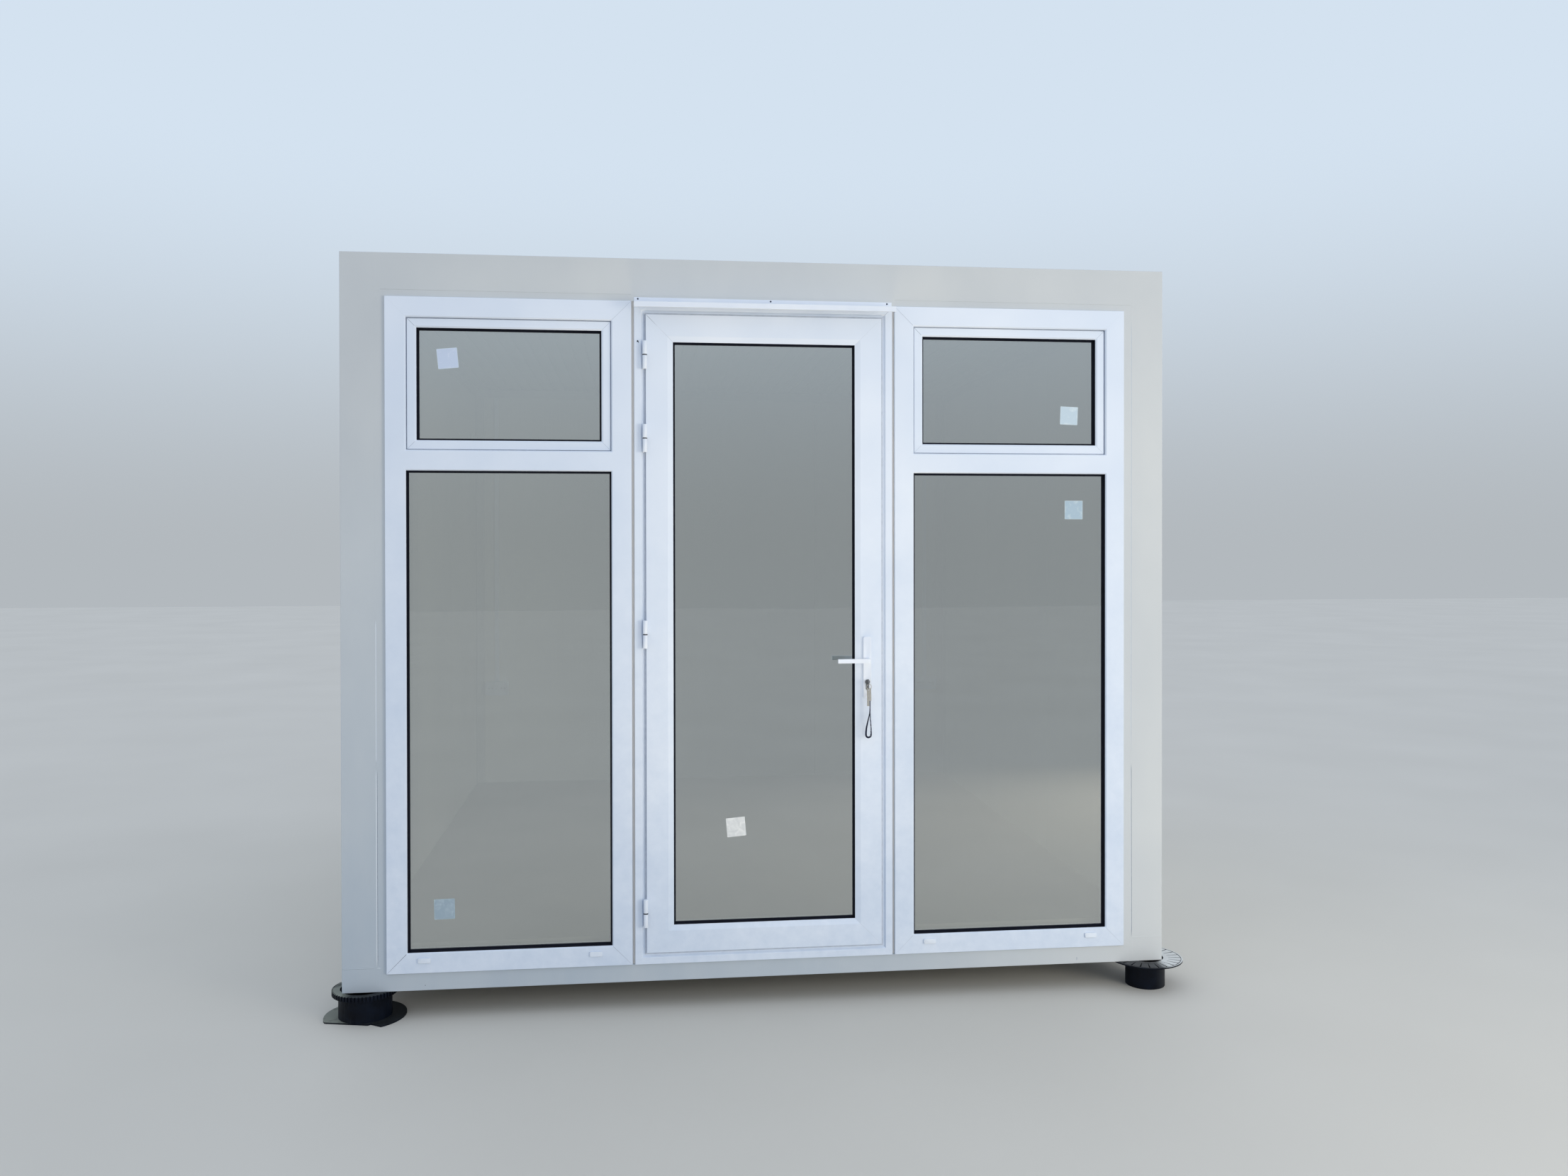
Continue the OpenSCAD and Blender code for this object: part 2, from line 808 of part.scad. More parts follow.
module window_panes() {
    color(glass_colour, 0.4)
        for (side = [-1, 1]) at_window(side) {
            lower_place() translate([0, gasket_t, 0])
                inset_plate(window_w(side), low_h, low_pane, pane_t);
            upper_place() translate([0, gasket_t, 0])
                inset_plate(sash_w(side), sash_h, top_pane, pane_t);
        }
}

module gasket_ring(w, h, inset) {
    band = rebate - gasket_play + gasket_show;
    translate([inset, 0, inset])
        flat_ring(w - 2 * inset, h - 2 * inset, band, gasket_t);
}

module window_gaskets() {
    color(black_colour)
        for (side = [-1, 1]) at_window(side) {
            lower_place() gasket_ring(window_w(side), low_h, low_gasket);
            upper_place() gasket_ring(sash_w(side), sash_h, sash_show - rebate + gasket_play);
        }
}

// glazing bead behind the glass, rounded off towards the room by a bevel
bead_d = 18;
bead_w = rebate + 2;
bead_bevel = 6;
bead_outer = [[0, 0], [bead_d, 0]];
bead_inner = [[0, bead_w], [bead_d - bead_bevel, bead_w], [bead_d, bead_w - bead_bevel]];

module bead_ring(w, h, inset) {
    translate([inset, gasket_t + pane_t, inset])
        profile_frame(w - 2 * inset, h - 2 * inset, bead_outer, bead_inner);
}

module window_beads() {
    color(pvc_colour)
        for (side = [-1, 1]) at_window(side) {
            lower_place() bead_ring(window_w(side), low_h, frame_band - rebate + seat);
            upper_place() bead_ring(sash_w(side), sash_h, sash_show - rebate + seat);
        }
}

drain_h = 18;
drain_t = 5;

// a flat outline with round corners, drawn from its centre
module round_plate(w, h, r) {
    square([w - 2 * r, h], center = true);
    square([w, h - 2 * r], center = true);
    for (sx = [-1, 1], sz = [-1, 1])
        translate([sx * (w / 2 - r), sz * (h / 2 - r)]) circle(r);
}

module drain_cap() {
    rotate([90, 0, 0]) linear_extrude(drain_t) round_plate(drain_w, drain_h, drain_t);
}

module drain_caps() {
    color(pvc_colour)
        for (side = [-1, 1]) at_window(side)
            for (x = [drain_x, window_w(side) - drain_x])
                translate([x, 0, (frame_band + drain_h) / 2]) drain_cap();
}

// door frame member: band, slope and step, then the rebate that the leaf shuts on
jamb_outer = window_outer;
jamb_inner = [[0, jamb_band], [step_v, jamb_band + slope_w], [step_v, jamb_step],
              [rebate_v, jamb_step], [rebate_v, jamb_w], [frame_depth, jamb_w]];

module at_door() {
    translate([door_x, frame_y, spool_h + sill_z]) children();
}

module door_frame() {
    color(pvc_colour)
        at_door() profile_frame(door_w, door_h, jamb_outer, jamb_inner);
}

// drip cap: screw flange on the trim, sloping roof, front nose with a drip edge
cap_play = 4;
cap_lip = 8;

module cap_section() {
    t = trim_t;
    back = frame_proud;
    top = door_h + cap_play;
    out = back - cap_reach;
    nose = top - cap_fall;
    rise = door_h + door_drop + cap_flange;
    foot = top - cap_play + seat;
    polygon([[back, foot], [back, rise], [back - t, rise], [back - t, top + t],
             [out, nose + t], [out, nose - cap_nose], [out + cap_lip, nose - cap_nose],
             [out + cap_lip, nose - cap_nose + t], [out + t, nose - cap_nose + t],
             [out + t, nose], [back - t, foot + t], [back - t, foot]]);
}

module door_drip_cap() {
    color(pvc_colour) at_door() along_x(door_w) cap_section();
}

// leaf member: flange over the rebate, body, bevelled inner edge, glass rebate
leaf_front = -leaf_proud;
leaf_back = leaf_t - leaf_proud;
leaf_flange = rebate_v - 5;
leaf_bevel = 20;
leaf_round = 1.5;
leaf_glass = leaf_lip - leaf_proud;
leaf_outer = [[leaf_front, leaf_round], [leaf_front + leaf_round, 0], [leaf_flange, 0],
              [leaf_flange, flange_lap], [leaf_back, flange_lap]];
leaf_inner = [[leaf_front, leaf_band - leaf_bevel], [leaf_front + 6, leaf_band],
              [leaf_glass, leaf_band], [leaf_glass, leaf_band - rebate],
              [leaf_back, leaf_band - rebate]];

module at_leaf() {
    translate([door_x + leaf_edge, frame_y, spool_h + sill_z + leaf_edge])
        children();
}

// round barrel and the slimmer lobe below it, drawn as [x, z]
module lock_outline(play) {
    r = lobe_r + play;
    circle(lock_r + play);
    translate([-r, -lobe_drop]) square([2 * r, lobe_drop]);
    translate([0, -lobe_drop]) circle(r);
}

// along +Y from y0 to y1, at the handle's x and the given height
module through_leaf(z, y0, y1) {
    translate([handle_x, y0, spool_h + z]) along_y(y1 - y0) children();
}

module door_leaf() {
    color(pvc_colour) difference() {
        at_leaf() profile_frame(leaf_w, leaf_h, leaf_outer, leaf_inner);
        through_leaf(lever_z, leaf_face_y - 1, leaf_face_y + leaf_t + 1)
            circle(spindle_r + bore_play);
        through_leaf(lock_z, leaf_face_y - 1, leaf_face_y + leaf_t + 1)
            lock_outline(lock_play);
    }
}

module leaf_glazing() {
    at_leaf() translate([0, leaf_glass, 0]) children();
}

leaf_rebate = leaf_band - rebate;

module door_pane() {
    color(glass_colour, 0.4) leaf_glazing() translate([0, gasket_t, 0])
        inset_plate(leaf_w, leaf_h, leaf_rebate + pane_play, pane_t);
}

module door_gasket() {
    color(black_colour) leaf_glazing()
        gasket_ring(leaf_w, leaf_h, leaf_rebate + gasket_play);
}

module door_bead() {
    color(pvc_colour) leaf_glazing() bead_ring(leaf_w, leaf_h, leaf_rebate + seat);
}

// hinge: the lower knuckle with its pin is on the frame, the upper on the leaf
knuckle = (hinge_len - washer_t) / 2;

module at_hinge(z) {
    translate([hinge_x, hinge_y, spool_h + z]) children();
}

// a flat lug from the barrel back to the face it is screwed on
lug_t = 5;

module hinge_lug(x, reach) {
    translate([x, 0, 0]) cube([lug_t, reach, knuckle]);
}

// lower knuckle: a groove below the joint, and the pin that rises from it
module frame_knuckle() {
    difference() {
        union() {
            cylinder(h = knuckle + washer_t / 2 - seat / 2, r = hinge_r);
            hinge_lug(hinge_out + jamb_band + slope_w - leaf_edge,
                      frame_y + step_v - hinge_y);
        }
        translate([0, 0, knuckle]) difference() {
            cylinder(h = washer_t, r = hinge_r + 1);
            translate([0, 0, -1]) cylinder(h = washer_t + 2, r = hinge_r - groove);
        }
    }
    cylinder(h = 2 * knuckle - pin_end, r = pin_r);
}

module hinge_frame_halves() {
    color(pvc_colour)
        for (z = hinge_zs) at_hinge(z) translate([0, 0, -knuckle - washer_t / 2])
            frame_knuckle();
}

module leaf_knuckle() {
    difference() {
        union() {
            cylinder(h = knuckle, r = hinge_r);
            hinge_lug(hinge_out, leaf_face_y - hinge_y);
        }
        translate([0, 0, -1]) cylinder(h = knuckle - pin_end + washer_t, r = pin_r + pin_play);
    }
}

module hinge_leaf_halves() {
    color(pvc_colour)
        for (z = hinge_zs) at_hinge(z) translate([0, 0, washer_t / 2]) leaf_knuckle();
}

// handle plates on both faces of the leaf, with holes for spindle and lock
module handle_plates() {
    color(pvc_colour)
        for (y = [leaf_face_y - plate_t, leaf_face_y + leaf_t]) difference() {
            through_leaf(plate_z, y, y + plate_t) round_plate(plate_w, plate_h, plate_r);
            through_leaf(lever_z, y - 1, y + plate_t + 1) circle(spindle_r + bore_play);
            through_leaf(lock_z, y - 1, y + plate_t + 1) lock_outline(lock_play);
        }
}

// a lever: a flat bar that comes out of the plate and bends towards the hinges
neck_w = 14;
bend_out = 11;
bend_in = 7;

module lever(reach) {
    out = reach + grip_t;
    x = neck_w / 2;
    outer = [for (a = [0 : 15 : 90])
        [x - bend_out * (1 - cos(a)), -out + bend_out * (1 - sin(a))]];
    inner = [for (a = [90 : -15 : 0])
        [-x - bend_in * (1 - cos(a)), -reach + bend_in * (1 - sin(a))]];
    translate([0, 0, -grip_h / 2]) linear_extrude(grip_h)
        polygon(concat([[x, 0]], outer, [[-lever_len, -out], [-lever_len, -reach]],
                       inner, [[-x, 0]]));
}

module door_levers() {
    outer = leaf_face_y - plate_t - neck_play;
    inner = leaf_face_y + leaf_t + plate_t + neck_play;
    color(pvc_colour) {
        translate([handle_x, outer, spool_h + lever_z]) lever(grip_off);
        translate([handle_x, inner, spool_h + lever_z])
            mirror([0, 1, 0]) lever(grip_off);
        through_leaf(lever_z, outer - 1, inner + 1) circle(spindle_r);
    }
}

// lock cylinder through the leaf, with the key that stands in it
key_t = 2.5;
key_bow_r = 11;
key_shank = 8;
lock_front = leaf_face_y - plate_t - lock_proud;

module key_outline() {
    bow = key_shank + key_bow_r - 3;
    difference() {
        union() {
            translate([-bow, 0]) circle(key_bow_r);
            translate([-key_shank, -key_shank / 2]) square([key_shank, key_shank]);
        }
        translate([-key_eye, -eye_drop]) circle(2.5);
    }
}

module lock_cylinder() {
    back = leaf_face_y + leaf_t + plate_t + lock_proud;
    color(zinc_colour) {
        through_leaf(lock_z, lock_front, back) lock_outline(0);
        translate([handle_x - key_t / 2, lock_front, spool_h + lock_z])
            rotate([90, 0, 90]) linear_extrude(key_t) key_outline();
    }
}

// key ring through the key's eye, with a spare key and the lanyard's clip on it
key_eye = 20;
eye_drop = 6;
key_y = lock_front - key_eye;
wire_r = 0.9;
ring_dx = 1.7;
ring_rest = 1;
ring_x = handle_x + ring_dx;
ring_z = spool_h + lock_z - eye_drop - ring_rest
         - sqrt(ring_r * ring_r - ring_dx * ring_dx);
spare_dx = -2.3;
clip_dx = 5;

// height of the ring's wire below its centre, dx beside it
function ring_low(dx) = ring_z - sqrt(ring_r * ring_r - dx * dx);

module ring(r, wire) {
    rotate([90, 0, 0]) rotate_extrude() translate([r, 0]) circle(wire, $fn = 16);
}

// spare key, turned half towards the hinges: a long bow, a shoulder and the blade
spare_turn = 40;
spare_eye = 4;
spare_t = 1.8;
bow_w = 13;
bow_h = 29;
shoulder = 24;
blade_w = 9;
blade_h = 37;

module spare_key() {
    rotate([0, 0, -spare_turn]) translate([0, spare_t / 2, 0])
        rotate([90, 0, 0]) linear_extrude(spare_t) difference() {
            union() {
                translate([0, bow_h / 2 - shoulder]) round_plate(bow_w, bow_h, 4);
                translate([-blade_w + 3.5, -shoulder - blade_h])
                    square([blade_w, blade_h + 4]);
            }
            circle(spare_eye);
        }
}

// clip: an eye on the ring, a swivel and behind it a ferrule that grips the lanyard
clip_eye_r = 3.2;
swivel_r = 2.2;
swivel_h = 13.4;
ferrule_w = 6.2;
ferrule_d = 6;
ferrule_h = 26;

module clip() {
    top = -clip_eye_r + wire_r / 2 - wire_r - swivel_h;
    rotate([0, 0, 90]) ring(clip_eye_r, wire_r);
    translate([0, 0, top]) cylinder(h = swivel_h + wire_r, r = swivel_r);
    translate([-ferrule_w / 2, 0.5, top - ferrule_h])
        cube([ferrule_w, ferrule_d, ferrule_h + 1]);
}

module keys() {
    color(zinc_colour) {
        translate([ring_x, key_y, ring_z]) ring(ring_r, wire_r);
        translate([ring_x + clip_dx, key_y, ring_low(clip_dx) - seat]) clip();
    }
    color("#c9bfa4")
        translate([ring_x + spare_dx, key_y, ring_low(spare_dx) - seat]) spare_key();
}

// lanyard: one tube swept along its route
lanyard_sides = 8;

function unit(v) = v / norm(v);
function tangent(p, i) = unit(p[min(i + 1, len(p) - 1)] - p[max(i - 1, 0)]);

module key_lanyard() {
    p = lanyard_route;
    n = lanyard_sides;
    rings = [for (i = [0 : len(p) - 1])
        let (t = tangent(p, i), s = unit(cross(t, [1, 1, 0])), u = cross(s, t))
        for (k = [0 : n - 1])
            p[i] + lanyard_r * (cos(360 * k / n) * s + sin(360 * k / n) * u)];
    last = len(p) - 1;
    walls = [for (i = [0 : last - 1], k = [0 : n - 1])
        [i * n + k, (i + 1) * n + k, (i + 1) * n + (k + 1) % n, i * n + (k + 1) % n]];
    color("#1b2034")
        polyhedron(rings, concat([[for (k = [0 : n - 1]) k]], walls,
                                 [[for (k = [n - 1 : -1 : 0]) last * n + k]]));
}

// slotted flange: slots that widen outwards and a ring groove inside the rim
slot_in = 85;
slot_out = 130;
slot_root = 0.8;
slot_tip = 2.6;
rim_w = 5;
ring_w = 3;
ring_d = 2.5;

module slotted_flange() {
    rim = flange_r - rim_w;
    difference() {
        linear_extrude(flange_t) difference() {
            circle(flange_r, $fn = 96);
            circle(drum_r - drum_t, $fn = 72);
            for (i = [0 : slot_count - 1]) rotate(i * 360 / slot_count)
                polygon([[slot_in, -slot_root], [slot_out, -slot_tip],
                         [slot_out, slot_tip], [slot_in, slot_root]]);
        }
        translate([0, 0, flange_t - ring_d]) linear_extrude(ring_d + 1) difference() {
            circle(rim, $fn = 96);
            circle(rim - ring_w, $fn = 96);
        }
    }
}

module drum(r) {
    linear_extrude(spool_h) difference() {
        circle(r, $fn = 72);
        circle(r - drum_t, $fn = 72);
    }
}

module spool() {
    drum(drum_r);
    translate([0, 0, spool_h - flange_t]) slotted_flange();
}

module support_spools() {
    x = half_w - spool_in_x;
    y = half_d - spool_in_y;
    color(black_colour)
        for (p = [[x, -y], [-x, y], [x, y]]) translate([p[0], p[1], 0]) spool();
}

// the worn spool has lost its upper flange: a thick notched collar is left, and the
// front of its plain lower flange is broken off
notch = 5;
break_line = [[-170, -62], [-129, -63], [-60, -80], [28, -101], [38, -94], [80, -122],
              [100, -170], [-170, -170]];

module worn_spool() {
    hole = worn_drum_r - drum_t;
    color(black_colour)
        translate([-half_w + worn_in_x, -half_d + worn_in_y, 0]) {
            drum(worn_drum_r);
            linear_extrude(flange_t) difference() {
                circle(worn_flange_r, $fn = 96);
                circle(hole, $fn = 72);
                polygon(break_line);
            }
            translate([0, 0, spool_h - collar_t]) linear_extrude(collar_t)
                difference() {
                    circle(collar_r, $fn = 96);
                    circle(hole, $fn = 72);
                    for (i = [0 : notch_count - 1]) rotate(i * 360 / notch_count)
                        translate([collar_r - notch, -notch / 2])
                            square([2 * notch, notch]);
                }
        }
}

base_corners();
base_rail_front();
base_rail_back();
base_rails_side();
floor_joists();
floor_board();
post_front_left();
post_front_right();
post_back_left();
post_back_right();
roof_rail_front();
roof_rail_back();
roof_rails_side();
roof_joists();
roof_sheet();
ceiling_board();
wall_left();
wall_right();
wall_back();
inner_trims();
wall_sockets();
front_mullions();
front_trims();
window_frame_left();
window_frame_right();
window_sashes();
window_panes();
window_gaskets();
window_beads();
drain_caps();
door_frame();
door_drip_cap();
door_leaf();
door_pane();
door_gasket();
door_bead();
hinge_frame_halves();
hinge_leaf_halves();
handle_plates();
door_levers();
lock_cylinder();
keys();
key_lanyard();
support_spools();
worn_spool();
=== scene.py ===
import json
import math
import bmesh
import bpy
import numpy as np
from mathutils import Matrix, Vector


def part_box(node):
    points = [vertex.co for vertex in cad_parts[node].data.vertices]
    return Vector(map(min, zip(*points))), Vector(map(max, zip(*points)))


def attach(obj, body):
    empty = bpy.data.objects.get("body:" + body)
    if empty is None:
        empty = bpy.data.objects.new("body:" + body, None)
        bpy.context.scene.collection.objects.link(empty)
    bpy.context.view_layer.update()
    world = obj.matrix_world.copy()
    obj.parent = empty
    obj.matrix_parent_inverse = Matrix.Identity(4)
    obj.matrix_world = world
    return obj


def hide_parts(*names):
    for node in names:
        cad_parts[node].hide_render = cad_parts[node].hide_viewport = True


# A portable site cabin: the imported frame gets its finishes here, and the small things
# that the solids leave out: weld seams, screws, stickers, seals, washers, the strap.
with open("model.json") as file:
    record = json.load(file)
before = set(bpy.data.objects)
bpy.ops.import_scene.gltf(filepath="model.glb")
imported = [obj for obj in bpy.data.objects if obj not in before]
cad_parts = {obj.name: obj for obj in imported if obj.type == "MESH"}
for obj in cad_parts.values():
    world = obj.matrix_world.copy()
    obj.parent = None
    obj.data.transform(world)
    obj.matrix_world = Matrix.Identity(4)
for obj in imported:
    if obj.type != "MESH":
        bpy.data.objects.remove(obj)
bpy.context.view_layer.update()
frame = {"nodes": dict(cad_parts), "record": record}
scene = bpy.context.scene


def spanOf(node):
    # lowest and highest corner of a node as two arrays
    low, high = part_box(node)
    return np.array(low), np.array(high)


# camera: stands about 4.5 m before the front, a little left of the middle
view = {
    "place": (-0.4636, -6.1245, 1.6733),
    "turn": (89.594, 0.0757, -6.6375),  # degrees
    "lens": 28.719,
    "shiftY": -0.02156,
    "sensor": 36.0,
    "reach": 200.0,
}
cameraData = bpy.data.cameras.new("photoCamera")
cameraData.lens = view["lens"]
cameraData.sensor_width = view["sensor"]
cameraData.shift_y = view["shiftY"]
cameraData.clip_end = view["reach"]
camera = bpy.data.objects.new("photoCamera", cameraData)
camera.location = view["place"]
camera.rotation_euler = [math.radians(angle) for angle in view["turn"]]
scene.collection.objects.link(camera)
scene.camera = camera
print("camera placed")


def addPiece(name, points, faces, slotName, finish=None, body="cabin", smooth=False,
             shade=None):
    # a new closed piece from points and faces, which rides on a body; it has its slot's
    # finish or its own, and shade is one number for each point, which a finish may read
    mesh = bpy.data.meshes.new(name)
    mesh.from_pydata(np.asarray(points, float).tolist(), [], [list(face) for face in faces])
    shell = bmesh.new()
    shell.from_mesh(mesh)
    bmesh.ops.recalc_face_normals(shell, faces=shell.faces)
    shell.to_mesh(mesh)
    shell.free()
    if smooth:
        mesh.polygons.foreach_set("use_smooth", [True] * len(mesh.polygons))
    if shade is not None:
        layer = mesh.attributes.new("shade", "FLOAT", "POINT")
        layer.data.foreach_set("value", np.asarray(shade, float))
    mesh.update()
    piece = bpy.data.objects.new(name, mesh)
    scene.collection.objects.link(piece)
    mesh.materials.append(finish or finishes[slotName])
    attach(piece, body)
    return piece


def gridFaces(rows, columns, closedColumns=False, closedRows=False, start=0):
    # quads of a grid of rows by columns points; a closed side wraps round
    i = np.arange(rows if closedRows else rows - 1)[:, None]
    j = np.arange(columns if closedColumns else columns - 1)[None, :]
    n, k = (i + 1) % rows, (j + 1) % columns
    i, j, n, k = np.broadcast_arrays(i, j, n, k)
    quads = np.stack([i * columns + j, i * columns + k, n * columns + k, n * columns + j],
                     axis=-1)
    return (quads.reshape(-1, 4) + start).tolist()


def shells(parts):
    # several point and face lists as one
    faces, start = [], 0
    for points, own in parts:
        faces += [[i + start for i in face] for face in own]
        start += len(points)
    return np.vstack([points for points, own in parts]), faces


def frameRing(low, high, section):
    # a section of (depth, inset) carried round a rectangle with mitred corners: each
    # corner moves inwards by the inset, and the depth is its y
    section = np.array(section, float)
    sx, sz = np.array([1, -1, -1, 1.0]), np.array([1, 1, -1, -1.0])
    cx = np.where(sx > 0, low[0], high[0])
    cz = np.where(sz > 0, low[2], high[2])
    x = cx[:, None] + sx[:, None] * section[None, :, 1]
    z = cz[:, None] + sz[:, None] * section[None, :, 1]
    y = np.broadcast_to(section[None, :, 0], x.shape)
    points = np.stack([x, y, z], axis=-1).reshape(-1, 3)
    return points, gridFaces(4, len(section), closedColumns=True, closedRows=True)


def tubeFaces(rows, count):
    # sides and both end caps of a tube of rows rings with count points each
    last = (rows - 1) * count
    caps = [list(range(count))[::-1], [last + i for i in range(count)]]
    return gridFaces(rows, count, closedColumns=True) + caps


def plateOf(rings):
    # a closed plate from outlines of (x, z) points, each with the depth y where it lies
    points = np.vstack([np.column_stack([ring[:, 0], np.full(len(ring), y), ring[:, 1]])
                        for ring, y in rings])
    return points, tubeFaces(len(rings), len(rings[0][0]))


def wedgePlate(x0, x1, z0, z1, front, back, edge):
    # a rectangular plate whose front face is set in by the edge on all sides
    corners = np.array([[x0, z0], [x1, z0], [x1, z1], [x0, z1]])
    inwards = edge * np.array([[1, 1], [-1, 1], [-1, -1], [1, -1]])
    return plateOf([(corners + inwards, front), (corners, back)])


def smoothPath(points, count):
    # Catmull-Rom curve through the points: each stretch is a cubic whose slopes are
    # half the distance between the neighbours; then spread evenly along its length
    p = np.asarray(points, float)
    padded = np.vstack([2 * p[0] - p[1], p, 2 * p[-1] - p[-2]])
    steps = 12  # points in each stretch
    t = np.linspace(0, 1, steps, endpoint=False)[:, None]
    a, b, c, d = padded[:-3], padded[1:-2], padded[2:-1], padded[3:]
    a, b, c, d = (m[:, None, :] for m in (a, b, c, d))
    curve = 0.5 * (2 * b + (c - a) * t + (2 * a - 5 * b + 4 * c - d) * t ** 2
                   + (3 * b - a - 3 * c + d) * t ** 3)
    curve = np.vstack([curve.reshape(-1, 3), p[-1]])
    along = np.concatenate([[0], np.cumsum(np.linalg.norm(np.diff(curve, axis=0), axis=1))])
    even = np.linspace(0, along[-1], count)
    return np.stack([np.interp(even, along, curve[:, axis]) for axis in range(3)], axis=1)


def sweep(path, across, deep, section):
    # a closed section of (u, v) carried along a path; u runs along across and v along
    # deep, one vector of each for every path point, and both ends are capped
    points = (path[:, None, :] + across[:, None, :] * section[None, :, :1]
              + deep[:, None, :] * section[None, :, 1:]).reshape(-1, 3)
    return points, tubeFaces(len(path), len(section))


def unit(vectors):
    return vectors / np.linalg.norm(vectors, axis=-1, keepdims=True)


def circle(count):
    # points of the unit circle, as rows of cosine and sine
    angle = np.linspace(0, 2 * math.pi, count, endpoint=False)
    return np.column_stack([np.cos(angle), np.sin(angle)])


def hexColour(text):
    # sRGB hex to linear: each channel c is (c + 0.055) / 1.055 to the power 2.4
    channels = [int(text[i:i + 2], 16) / 255 for i in (1, 3, 5)]
    linear = [c / 12.92 if c < 0.04045 else ((c + 0.055) / 1.055) ** 2.4 for c in channels]
    return (*linear, 1.0)


def addNode(tree, kind, settings=None, links=None):
    # one shader node; settings are properties or socket values, links are
    # socket: (node, output)
    node = tree.nodes.new("ShaderNode" + kind)
    for name, value in (settings or {}).items():
        if isinstance(name, str) and hasattr(node, name):
            setattr(node, name, value)
        else:
            node.inputs[name].default_value = value
    for name, (source, output) in (links or {}).items():
        tree.links.new(source.outputs[output], node.inputs[name])
    return node


# the helpers below take and give sources as (node, output) and work in their tree
def noiseOf(place, scale, detail, stretch=None, **more):
    # soft noise from 0 to 1: scale in cells a metre, detail in octaves, and the
    # stretch of the pattern on each axis
    tree = place[0].id_data
    if stretch is not None:
        place = (addNode(tree, "Mapping", {"Scale": stretch}, {"Vector": place}), "Vector")
    return addNode(tree, "TexNoise", {"Scale": scale, "Detail": detail, **more},
                   {"Vector": place}), "Fac"


def cellsOf(place, scale, output):
    # Distance or Color of a pattern of cells, scale of them to a metre
    return addNode(place[0].id_data, "TexVoronoi", {"Scale": scale}, {"Vector": place}), output


def coordinate(vector, axis):
    return addNode(vector[0].id_data, "SeparateXYZ", {}, {"Vector": vector}), axis


def remap(source, span, result=(0.0, 1.0), **more):
    # a value carried from one span to another and held at its ends
    ends = {"From Min": span[0], "From Max": span[1], "To Min": result[0], "To Max": result[1]}
    return addNode(source[0].id_data, "MapRange", {**ends, **more}, {"Value": source}), "Result"


def maths(operation, *values, **more):
    # one Math node, whose first value is a source and the others numbers or sources
    sources = {i: value for i, value in enumerate(values) if isinstance(value, tuple)}
    numbers = {i: value for i, value in enumerate(values) if i not in sources}
    return addNode(values[0][0].id_data, "Math",
                   {"operation": operation, **numbers, **more}, sources), "Value"


def shadeOf(finish):
    # the shade that a piece's points carry
    return addNode(finish.node_tree, "Attribute", {"attribute_name": "shade"}), "Fac"


def colourRamp(factor, stops):
    # a colour ramp from (position, hex colour) stops
    ramp = addNode(factor[0].id_data, "ValToRGB", {}, {"Fac": factor})
    for number, (position, colour) in enumerate(stops):
        elements = ramp.color_ramp.elements
        element = elements[number] if number < 2 else elements.new(position)
        element.position = position
        element.color = hexColour(colour)
    return ramp, "Color"


def drive(source, shader, socket="Base Color"):
    # a source's value goes into a socket
    shader.id_data.links.new(source[0].outputs[source[1]], shader.inputs[socket])


def overlay(shader, amount, base, colour):
    # the base colour with a plain hex colour laid over it by an amount
    colours = {"first": 6, "second": 7, "mixed": 2}  # the Mix node's colour sockets
    mixed = addNode(shader.id_data, "Mix", {"data_type": "RGBA"},
                    {"Factor": amount, colours["first"]: base})
    mixed.inputs[colours["second"]].default_value = hexColour(colour)
    drive((mixed, colours["mixed"]), shader)


def bumpFrom(shader, height, depth, strength):
    # a bump of the given depth in metres
    bump = addNode(shader.id_data, "Bump", {"Strength": strength, "Distance": depth},
                   {"Height": height})
    drive((bump, "Normal"), shader, "Normal")


def startFinish(name, colour, roughness, metallic=0.0, coat=0.0, specular=0.5):
    # a material with one Principled shader, and the object's own coordinates in metres
    finish = bpy.data.materials.new(name)
    finish.use_nodes = True
    tree = finish.node_tree
    shader = tree.nodes["Principled BSDF"]
    for socket, value in (("Base Color", hexColour(colour)), ("Roughness", roughness),
                          ("Metallic", metallic), ("Coat Weight", coat),
                          ("Specular IOR Level", specular)):
        shader.inputs[socket].default_value = value
    return finish, shader, (addNode(tree, "TexCoord"), "Object")


def grainedFinish(name, colour, roughness, noise, stops, bump, **shading):
    # a finish whose colour and bump follow one noise: noise is scale, detail and
    # stretch, bump is depth in metres and strength
    finish, shader, place = startFinish(name, colour, roughness, **shading)
    grain = noiseOf(place, *noise)
    drive(colourRamp(grain, stops), shader)
    bumpFrom(shader, grain, *bump)
    return finish


